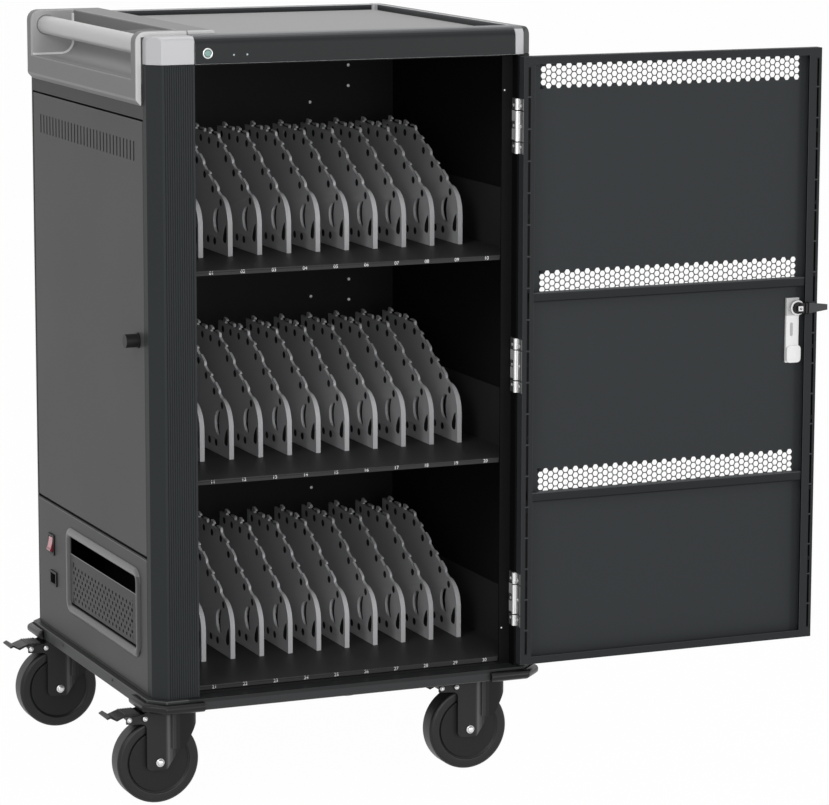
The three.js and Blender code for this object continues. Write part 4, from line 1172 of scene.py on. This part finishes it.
def honeycomb(first, columns, rows, size, hole, thick, corner, squash=1.0):
    """A strip of honeycomb cells with plain corners that make it a rectangle, about height 0.
    Even columns hold one cell less than the odd ones, and stand half a cell higher."""
    pitch, tall = 1.5 * size, math.sqrt(3) * size
    x = first + np.arange(columns) * pitch
    shifts = []
    for column in range(columns):
        count = rows - (column + 1) % 2
        shifts += [(x[column], 0.0, (row - (count - 1) / 2) * tall) for row in range(count)]
    parts = [repeat(*hex_ring(size, hole, thick, corner, squash), np.array(shifts))]
    half = size / 2
    top = rows * tall / 2
    brow = np.array([(-half, top - tall / 2), (half, top - tall / 2), (size, top), (-size, top)])
    for across in x[::2]:
        parts.append(prism(brow + (across, 0), thick))
        parts.append(prism(brow[::-1] * (1, -1) + (across, 0), thick))
    wedge = np.array([(-size, -tall / 2), (-half, 0.0), (-size, tall / 2)])
    for k in range(rows):
        parts.append(prism(wedge + (x[0], (k - (rows - 1) / 2) * tall), thick))
    for k in range(rows - 1):
        parts.append(prism(wedge[::-1] * (-1, 1) + (x[-1], (k - (rows - 2) / 2) * tall), thick))
    tip = np.array([(half, top), (size, top - tall / 2), (size, top)]) + (x[-1], 0)
    parts += [prism(tip, thick), prism(tip[::-1] * (1, -1), thick)]
    return join(parts)


def make_door_bands():
    """Honeycomb strips in the door skin's three windows."""
    skin = node_span("front_door")[1][1] - DOOR_SKIN
    size = (BAND_RIGHT - BAND_LEFT) / (1.5 * (BAND_COLUMNS - 1) + 2)
    points, faces = honeycomb(
        BAND_LEFT + size, BAND_COLUMNS, BAND_ROWS, size, BAND_HOLE, BAND_SHEET, BAND_CORNER)
    points[:, 2] *= BAND_HEIGHT / (BAND_ROWS * math.sqrt(3) * size)
    for level, centre in BAND_CENTRES.items():
        spots = points * MM + place(0, skin, centre)
        piece("door_band_" + level, spots, faces, "door", BAND_COAT, "dark_paint")


def make_flange_bridges():
    """The small bridges that part the slots along both flanges of the door."""
    low, high = node_span("front_door")
    front, rear = low[1] - BRIDGE_PROUD, low[1] + BRIDGE_SUNK
    bars = []
    for x in SLOT_X:
        left, right = about(x, BRIDGE_HALF_WIDTH)
        for z in np.arange(low[2] + BRIDGE_FIRST, high[2] - BRIDGE_LAST, BRIDGE_PITCH):
            bottom, top = about(z, BRIDGE_HALF_HEIGHT)
            bars.append(slab((left, front, bottom), (right, rear, top)))
    piece("flange_bridges", *join(bars), "door", FLANGE_COAT, "dark_paint")


def make_pocket_sheet():
    """The cable pocket's panel: a plain sheet round a staggered field of small holes, and behind it a black
    sheet of painted shade.
    """
    low, high = node_span("pocket_panel")
    face, back = low[0], low[0] + POCKET_SHEET
    size = POCKET_PITCH / 1.5
    stretch = POCKET_STEP / (math.sqrt(3) * size)
    points, faces = honeycomb(
        size, POCKET_COLUMNS, POCKET_ROWS, size, POCKET_HOLE / FLATS, POCKET_SHEET, FLATS, 1 / stretch)
    along, through, up = points.T
    front = POCKET_FIRST - size
    rear = front + (POCKET_COLUMNS - 1) * POCKET_PITCH + 2 * size
    upright = np.stack([through, -along, up * stretch], axis=1) * MM + place(face, rear, POCKET_CENTRE)
    bottom, top = about(POCKET_CENTRE, POCKET_ROWS * POCKET_STEP / 2)
    sheet = join([
        (upright, faces),
        slab(low, (back, high[1], bottom)),
        slab((face, low[1], top), (back, high[1], high[2])),
        slab((face, low[1], bottom), (back, front, top)),
        slab((face, rear, bottom), (back, high[1], top)),
    ])
    # A black sheet behind the holes is painted shade
    shade_sheet_face = back + SHADE_SHEET_GAP
    shade_sheet = slab((shade_sheet_face, low[1], low[2]), (shade_sheet_face + SHADE_SHEET_THICK, high[1], high[2] - SHADE_SHEET_DROP))
    piece("pocket_shade_sheet", *shade_sheet, "cabinet", GAP_BLACK, "side_paint")
    item = piece("pocket_sheet", *sheet, "cabinet", PANEL_COAT, "side_paint")
    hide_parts("pocket_panel")


make_door_bands()
make_flange_bridges()
make_pocket_sheet()

# The pocket's frame, the mains rocker and the bead in the hand recess

BEZEL_CORNER = 22.0
BEZEL_WIDTH = 15.0
BEZEL_RISE = 4.6
BEZEL_PROUD = 0.1
BEZEL_CORNER_STEPS = 9
BEZEL_SECTION_STEPS = 13

# The rocker's section: X from the left face, and share of the rocker's height
ROCKER_SECTION = (
    (-6.4, 0), (2.0, 0), (2.0, 1), (-2.2, 1), (-2.8, 0.75), (-3.8, 0.5), (-5.4, 0.25), (-7.4, 0.08))
ROCKER_BEVEL = 0.5

RIM_RADIUS = 3.2
RIM_BEND = 22.0
RIM_BEND_POINTS = 9
RIM_STEPS = 10
RIM_TOP = 6.0
RIM_STRAIGHT = 40.0
RIM_FLAT = 20.0
RIM_END = 2.0
RIM_SUNK = 1.0


def make_bezel():
    """The pocket's frame: a half-round section carried round a rectangle with round corners."""
    low, high = node_span("pocket_bezel")
    half = BEZEL_WIDTH / 2
    _, front, bottom = low + BEZEL_CORNER
    _, rear, top = high - BEZEL_CORNER
    corners = [(rear, top), (front, top), (front, bottom), (rear, bottom)]
    centres = np.repeat(corners, BEZEL_CORNER_STEPS, axis=0)
    quarter = np.linspace(0, 90, BEZEL_CORNER_STEPS)
    angle = np.radians((np.arange(len(corners))[:, None] * 90 + quarter[None]).ravel())
    outward = np.stack([np.cos(angle), np.sin(angle)], axis=1)
    turn = np.radians(np.linspace(0, 180, BEZEL_SECTION_STEPS))
    reach = BEZEL_CORNER - half + half * np.cos(turn)
    flat = centres[:, None] + outward[:, None] * reach[None, :, None]
    lift = np.broadcast_to(-BEZEL_PROUD - BEZEL_RISE * np.sin(turn), flat.shape[:2])
    points = placed(np.concatenate([lift[..., None], flat], axis=2).reshape(-1, 3))
    faces = grid_faces(len(angle), len(turn), wrap_rows=True, wrap_columns=True)
    item = piece("bezel_ring", points, faces, "cabinet", BEZEL_PLASTIC, "dark_plastic")
    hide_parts("pocket_bezel")


def make_rocker():
    """The mains rocker: a wedge with a hollow face, proud at its lower end, swept across its width."""
    low, high = node_span("rocker_switch")
    section = np.array(ROCKER_SECTION) * (1, high[2] - low[2]) + (0, low[2])
    points, faces = prism(section, high[1] - low[1])
    spots = points * MM + place(0, low[1], 0)
    item = piece("rocker_wedge", spots, faces, "rocker", ROCKER_RED, "switch_red", ROCKER_BEVEL)
    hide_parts("rocker_switch")


def make_scoop_rim():
    """A bead round the rear end of the hand recess, painted bright white as a highlight: a circle carried
    down the wall, round and out.
    """
    low, high = node_span("handle_housing")
    bend = circle(SCOOP_RIGHT - RIM_BEND, SCOOP_FLOOR + RIM_BEND, RIM_BEND, RIM_BEND_POINTS, 0, -90)
    wall = [(SCOOP_RIGHT, high[2] - RIM_TOP), (SCOOP_RIGHT, SCOOP_FLOOR + RIM_STRAIGHT)]
    path = np.concatenate([wall, bend, [(RIM_FLAT, SCOOP_FLOOR), (low[0] + RIM_END, SCOOP_FLOOR)]])
    ahead = np.gradient(path, axis=0)
    ahead /= np.linalg.norm(ahead, axis=1)[:, None]
    side = np.stack([-ahead[:, 1], ahead[:, 0]], axis=1)
    turn = np.arange(RIM_STEPS) * 2 * math.pi / RIM_STEPS
    flat = path[:, None] + RIM_RADIUS * np.cos(turn)[None, :, None] * side[:, None]
    depth = np.broadcast_to(SCOOP_REAR - RIM_SUNK + RIM_RADIUS * np.sin(turn), flat.shape[:2])
    points = placed(np.stack([flat[..., 0], depth, flat[..., 1]], axis=2).reshape(-1, 3))
    order = np.arange(RIM_STEPS)
    caps = [order[None], order[::-1][None] + RIM_STEPS * (len(path) - 1)]
    faces = [grid_faces(len(path), RIM_STEPS, wrap_columns=True), *caps]
    piece("scoop_rim", points, faces, "cabinet", RIM_HIGHLIGHT, "handle_plastic")


make_bezel()
make_rocker()
make_scoop_rim()

# Casters: turned wheels, and the bolts, rivets and rounded nose of each fork

WHEEL_STEPS = 96
SHOULDER = 6.0
SHOULDER_POINTS = 8
HUB_RADIUS = 48.0

# The tyre's side wall and the hub's side, as steps from the hub's radius and from the wheel's side
TYRE_WALL = ((5.0, 0.0), (3.2, -0.6), (2.4, -2.0), (-0.4, -3.4))
HUB_RIM = ((0.0, -3.0), (-0.6, -1.8), (-1.8, -1.4))

# The boss round the axle: radius, and step from the wheel's side
HUB_BOSS = ((17.0, -1.4), (16.0, -0.6), (8.0, -0.4), (5.6, -0.4))

# A bolt's collar as (share of its radius, height), and the tip above it
BOLT_COLLAR = ((1.0, 0.0), (1.0, 1.0), (0.82, 1.7))
TIP_SHARE = 0.72
TIP_HEIGHT = 2.2
TIP_POINTS = 7

# Radius, height and steps round
AXLE_BOLT = (6.6, 5.0, 24)
FORK_RIVET = (4.0, 3.2, 20)

# How deep the axle's bolts are sunk, and the rivets' places from the axle
AXLE_BOLT_SUNK = 2.0
RIVETS_X = (-50.1, -24.5)
RIVETS_Z = 72.4

# The fork's rounded nose
NOSE_STEPS = 33
NOSE_START = 20.0
NOSE_REACH = 44.5
NOSE_POWER = 0.6
NOSE_HALF = 27.2
NOSE_WALL = 3.0
NOSE_CLEAR = 69.5
NOSE_FOOT = 126.0
NOSE_FOOT_LEAST = 20.0
NOSE_SLOPE = 1.6
NOSE_TYRE = 20.2
NOSE_DROP = 6.0


def both_sides(edge):
    """A wheel's whole profile from the half on one side of its middle."""
    return np.concatenate([edge * (1, -1), edge[::-1]])[::-1]


def tyre_profile(radius, half):
    """A tyre's section: flat tread, round shoulders, and a step down into the groove round the hub."""
    shoulder = circle(radius - SHOULDER, half - SHOULDER, SHOULDER, SHOULDER_POINTS, 0, 90)
    wall = np.array(TYRE_WALL) + (HUB_RADIUS, half)
    return both_sides(np.concatenate([[(radius, 0.0)], shoulder, wall]))


def hub_profile(half):
    """A flat hub disc with a rounded rim and a low boss round the axle, on both sides."""
    rim = np.array(HUB_RIM) + (HUB_RADIUS, half)
    boss = np.array(HUB_BOSS) + (0, half)
    return both_sides(np.concatenate([[(HUB_RADIUS, 0.0)], rim, boss]))


def bolt(radius, tall, steps, axis, spot):
    """A bolt end at a spot: a chamfered collar and a quarter-ellipse tip, turned about an axis."""
    angle = np.radians(np.linspace(0, 90, TIP_POINTS))
    tip = np.stack([radius * TIP_SHARE * np.cos(angle), tall + TIP_HEIGHT * (np.sin(angle) - 1)], axis=1)
    tip[-1, 0] = 0.0
    profile = np.concatenate([np.array(BOLT_COLLAR) * (radius, 1), tip])
    points, faces = revolve(profile * MM, steps)
    return turned(points, axis) + place(*spot), faces


def make_fork_bolts(corner, axle, front, rear):
    """The axle's bolt ends and two rivets, on both cheeks of the fork."""
    x, _, z = axle
    bolts = [
        bolt(*AXLE_BOLT, "-Y", (x, front + AXLE_BOLT_SUNK, z)),
        bolt(*AXLE_BOLT, "+Y", (x, rear - AXLE_BOLT_SUNK, z)),
    ]
    for axis, cheek in (("-Y", front), ("+Y", rear)):
        bolts += [bolt(*FORK_RIVET, axis, (x + step, cheek, z + RIVETS_Z)) for step in RIVETS_X]
    piece("axle_bolts_" + corner, *join(bolts), "fork_" + corner, ZINC, "bright_steel")


def make_fork_nose(corner, axle, top):
    """The fork's rounded nose: a wall swept on half a squarish ellipse round the wheel. Its lower edge slopes
    down from the tip, but where the wall is in front of the tyre it stays on a circle that clears it."""
    turn = np.radians(np.linspace(-90, 90, NOSE_STEPS))[:, None]
    wall = np.array((0.0, 0.0, NOSE_WALL, NOSE_WALL))
    x = NOSE_START + (NOSE_REACH - wall) * np.clip(np.cos(turn), 0, None) ** NOSE_POWER
    y = (NOSE_HALF - wall) * np.sign(turn) * np.abs(np.sin(turn)) ** NOSE_POWER
    circle_edge = axle[2] + np.sqrt(np.clip(NOSE_CLEAR ** 2 - x ** 2, 0, None))
    slope = np.maximum(NOSE_FOOT - NOSE_SLOPE * (NOSE_START + NOSE_REACH - x), axle[2] + NOSE_FOOT_LEAST)
    foot = np.where(np.abs(y[:, 2:3]) < NOSE_TYRE, np.maximum(circle_edge, slope), slope)
    z = np.where(np.array((True, False, False, True)), foot, top)
    points = placed(np.stack([axle[0] + x, axle[1] + y, z], axis=-1).reshape(-1, 3))
    order = np.arange(len(wall))
    caps = [order[::-1][None], order[None] + len(wall) * (NOSE_STEPS - 1)]
    faces = [grid_faces(NOSE_STEPS, len(wall), wrap_columns=True), *caps]
    piece("fork_nose_" + corner, points, faces, "fork_" + corner, FORK_COAT, "black_steel")


def make_casters():
    """Each wheel is a tyre and a hub turned about its own axle; the bolts and the nose stay with the fork."""
    for corner in CORNERS:
        low, high = node_span("caster_wheel_" + corner)
        axle = (low + high) / 2
        half, radius = (high[1] - low[1]) / 2, (high[2] - low[2]) / 2
        for name, profile, material, slot in (
            ("tyre_", tyre_profile(radius, half), TYRE_RUBBER, "tyre_rubber"),
            ("hub_", hub_profile(half), HUB_PLASTIC, "dark_plastic"),
        ):
            points, faces = revolve(profile * MM, WHEEL_STEPS)
            spots = turned(points, "+Y") + place(*axle)
            item = piece(name + corner, spots, faces, "wheel_" + corner, material, slot)
            if name == "tyre_":
                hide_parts("caster_wheel_" + corner)
        fork_low, fork_high = node_span("caster_fork_" + corner)
        make_fork_bolts(corner, axle, fork_low[1], fork_high[1])
        make_fork_nose(corner, axle, fork_high[2] - NOSE_DROP)


make_casters()

# Screws, rivets, lamps and the button's ring

SCREW_RINGS = 8
SCREW_STEPS = 32
SCREW_FLATNESS = 0.92
CROSS_HALF_WIDTH = 0.16
CROSS_REACH = 0.62
CROSS_DEPTH = 0.4

# Radius and height of each kind of head
WALL_RIVET = (2.6, 1.4)
SMALL_HEAD = (1.5, 0.7)
BASE_SCREW = (2.6, 1.0)
HINGE_SCREW = (2.6, 0.9)

BACK_WALL = 564.0
BACK_WALL_RIVETS = (
    (547.5, 1090.5), (547.5, 1055.6), (478, 1030.2), (478, 998.2), (548, 725.9), (548, 691.0), (478.5, 699.8),
    (478.5, 666.5), (478.5, 369.5), (478.5, 336.0))
JAMB_RIVETS = ((590.5, 19.5, 1091), (590.5, 19.5, 231))
BASE_SCREWS_Y = (182, 436)
BASE_SCREWS_Z = 165
LEAF_FACES = {"frame": 602.5, "door": 604.8}
LEAF_MARGIN = 7.0
HINGE_SCREW_STEPS = (-32.0, 0.0, 32.0)
LAMPS_X = (134, 155.4)
LAMPS_Z = 1160.5
RING_STEPS = 48
RING_POINTS = 11


def screw_shape(radius, tall):
    """A pan head on a grid of radius and angle: a dome with a cross pressed into it, along +X."""
    share = np.linspace(0, 1, SCREW_RINGS)[:, None]
    angle = (np.arange(SCREW_STEPS) * 2 * math.pi / SCREW_STEPS)[None]
    y, z = share * radius * np.cos(angle), share * radius * np.sin(angle)
    dome = tall * np.sqrt(np.clip(1 - SCREW_FLATNESS * share ** 2, 0, 1))
    near, far = np.minimum(np.abs(y), np.abs(z)), np.maximum(np.abs(y), np.abs(z))
    inside = (near < radius * CROSS_HALF_WIDTH) & (far < radius * CROSS_REACH)
    x = dome + 0 * angle - np.where(inside, tall * CROSS_DEPTH, 0.0)
    points = np.stack([x, y, z], axis=-1).reshape(-1, 3)
    foot = np.stack([0 * angle, radius * np.cos(angle), radius * np.sin(angle)], axis=-1).reshape(-1, 3)
    return np.concatenate([points, foot]), grid_faces(SCREW_RINGS + 1, SCREW_STEPS, wrap_columns=True)


def screws(name, spots, axis, head, body, material=ZINC):
    """Screw heads at spots in millimetres, all facing one way."""
    radius, tall = head
    points, faces = screw_shape(radius * MM, tall * MM)
    shifts = np.stack([place(*spot) for spot in spots])
    piece(name, *repeat(turned(points, axis), faces, shifts), body, material, "bright_steel")


def make_base_screws():
    """Two dark screws on each side of the base."""
    low, high = node_span("base_frame")
    for side, x, axis in (("left", low[0], "-X"), ("right", high[0], "+X")):
        spots = [(x, y, BASE_SCREWS_Z) for y in BASE_SCREWS_Y]
        screws("base_screws_" + side, spots, axis, BASE_SCREW, "cabinet", DARK_STEEL)


def make_hinge_screws():
    """Three screws in each leaf of each hinge."""
    for level in LEVELS:
        for part, body in (("frame", "cabinet"), ("door", "door")):
            low, high = node_span("hinge_%s_%s" % (part, level))
            centre = (low[2] + high[2]) / 2
            y = high[1] - LEAF_MARGIN if part == "frame" else low[1] + LEAF_MARGIN
            spots = [(LEAF_FACES[part], y, centre + step) for step in HINGE_SCREW_STEPS]
            screws("hinge_screws_%s_%s" % (part, level), spots, "-X", HINGE_SCREW, body)


def make_ring(name, centre, body, material, inner, outer, tall):
    """A half-round ring on a face that looks to the front: half an ellipse turned about its axis."""
    angle = np.radians(np.linspace(0, 180, RING_POINTS))
    middle, width = (inner + outer) / 2, (outer - inner) / 2
    profile = np.stack([middle + width * np.cos(angle), tall * np.sin(angle)], axis=1)
    points, faces = revolve(profile * MM, RING_STEPS)
    piece(name, turned(points, "-Y") + place(*centre), faces, body, material, "bright_steel")


def make_bar_fittings():
    """The silver ring round the push button, and two small lamps."""
    low, high = node_span("power_button")
    x, _, z = (low + high) / 2
    front = node_span("control_bar")[0][1]
    make_ring("button_ring", (x, front, z), "cabinet", STEEL, inner=5.4, outer=8.4, tall=2.0)
    screws("bar_lamps", [(x, front, LAMPS_Z) for x in LAMPS_X], "-Y", SMALL_HEAD, "cabinet", LAMP_WHITE)


BACK_WALL_SPOTS = [(x, BACK_WALL, z) for x, z in BACK_WALL_RIVETS]
screws("back_wall_rivets", BACK_WALL_SPOTS, "-Y", WALL_RIVET, "cabinet", RIVET_WHITE)
screws("jamb_rivets", JAMB_RIVETS, "-Y", SMALL_HEAD, "cabinet")
make_base_screws()
make_hinge_screws()
make_bar_fittings()

# Latch fittings and pedal ribs

PLATE_FACE = 5.0
LATCH_RING_RISE = 6.0
LOCK_SLOT_HALF = 8.6
LOCK_SLOT_RADIUS = 2.6
LOCK_SLOT_POINTS = 9
LOCK_SLOT_THICK = 0.3
LOCK_SLOT_BEVEL = 0.05
LOCK_SLOT_RIGHT = 9.5
LOCK_SLOT_DROP = 35.5
NECK_STEPS = (9.6, 14.6)
NECK_HALF = 9.6
NECK_DEPTH = 4.5
NECK_RADIUS = 2.3

# Places of the ribs along X from the axle, and how far the pedal's tip is from the axle
PEDAL_RIBS = (-33.0, -37.0, -41.0, -45.0, -49.0, -53.0)
PEDAL_TIP = 85.0
PEDAL_RIB_RADIUS = 1.1
PEDAL_RIB_INSET = 1.0
PEDAL_RIB_SUNK = 0.3
BEAD_STEPS = 9


def bead(start, end, radius, axis):
    """A half-round bar from one point to another: its round side is swept on a half circle about the line
    between them, turned to the given side, and both ends are closed."""
    start, end, above = place(*start), place(*end), np.array(axis, float)
    across = np.cross((end - start) / np.linalg.norm(end - start), above)
    angle = np.radians(np.linspace(0, 180, BEAD_STEPS))[:, None]
    ring = radius * MM * (np.cos(angle) * across + np.sin(angle) * above)
    order = np.arange(BEAD_STEPS)
    faces = [grid_faces(2, BEAD_STEPS, wrap_columns=True), order[::-1][None], order[None] + BEAD_STEPS]
    return np.concatenate([start + ring, end + ring]), faces


def make_latch_fittings():
    """Collar, ring and slot on the lock plate, the spindle's end and two ribs round the arm's neck."""
    plate_low, plate_high = node_span("lock_plate")
    face = plate_high[1] - PLATE_FACE
    raised = face - LATCH_RING_RISE
    make_ring("latch_collar", (LATCH_X, face, LATCH_Z), "door", LOCK_GREY, inner=9.2, outer=12.0, tall=7.5)
    make_ring("latch_ring", (LATCH_X, raised, LATCH_Z), "door", RING_WHITE, inner=9.2, outer=12.4, tall=1.8)
    slot = np.concatenate([
        circle(0, LOCK_SLOT_HALF, LOCK_SLOT_RADIUS, LOCK_SLOT_POINTS, 0, 180),
        circle(0, -LOCK_SLOT_HALF, LOCK_SLOT_RADIUS, LOCK_SLOT_POINTS, 180, 360)])
    flat, triangles = flat_shape([slot * MM], LOCK_SLOT_THICK * MM, LOCK_SLOT_BEVEL * MM)
    spot = place(plate_low[0] + LOCK_SLOT_RIGHT, face, LATCH_Z - LOCK_SLOT_DROP)
    piece("lock_slot", facing_front(flat) + spot, triangles, "door", LOCK_GREY, "silver_trim")
    arm = node_span("latch_cam")[0][1]
    make_ring("spindle_end", (LATCH_X, arm, LATCH_Z), "latch", DARK_STEEL, inner=0.9, outer=2.1, tall=0.5)
    bottom, top = about(LATCH_Z, NECK_HALF)
    neck = []
    for x in NECK_STEPS:
        start, end = [(LATCH_X + x, arm + NECK_DEPTH, z) for z in (bottom, top)]
        neck.append(bead(start, end, NECK_RADIUS, (0, -1, 0)))
    piece("latch_neck", *join(neck), "latch", GAP_BLACK, "black_steel")


def make_pedal_ribs():
    """Half-round ribs across each pedal's tread."""
    for corner in CORNERS:
        low, high = node_span("caster_pedal_" + corner)
        axle, top = low[0] + PEDAL_TIP, high[2] - PEDAL_RIB_SUNK
        ribs = []
        for x in PEDAL_RIBS:
            ends = [(axle + x, y, top) for y in (low[1] + PEDAL_RIB_INSET, high[1] - PEDAL_RIB_INSET)]
            ribs.append(bead(*ends, PEDAL_RIB_RADIUS, (0, 0, 1)))
        piece("pedal_ribs_" + corner, *join(ribs), "pedal_" + corner, PEDAL_BLACK, "black_plastic")


make_latch_fittings()
make_pedal_ribs()
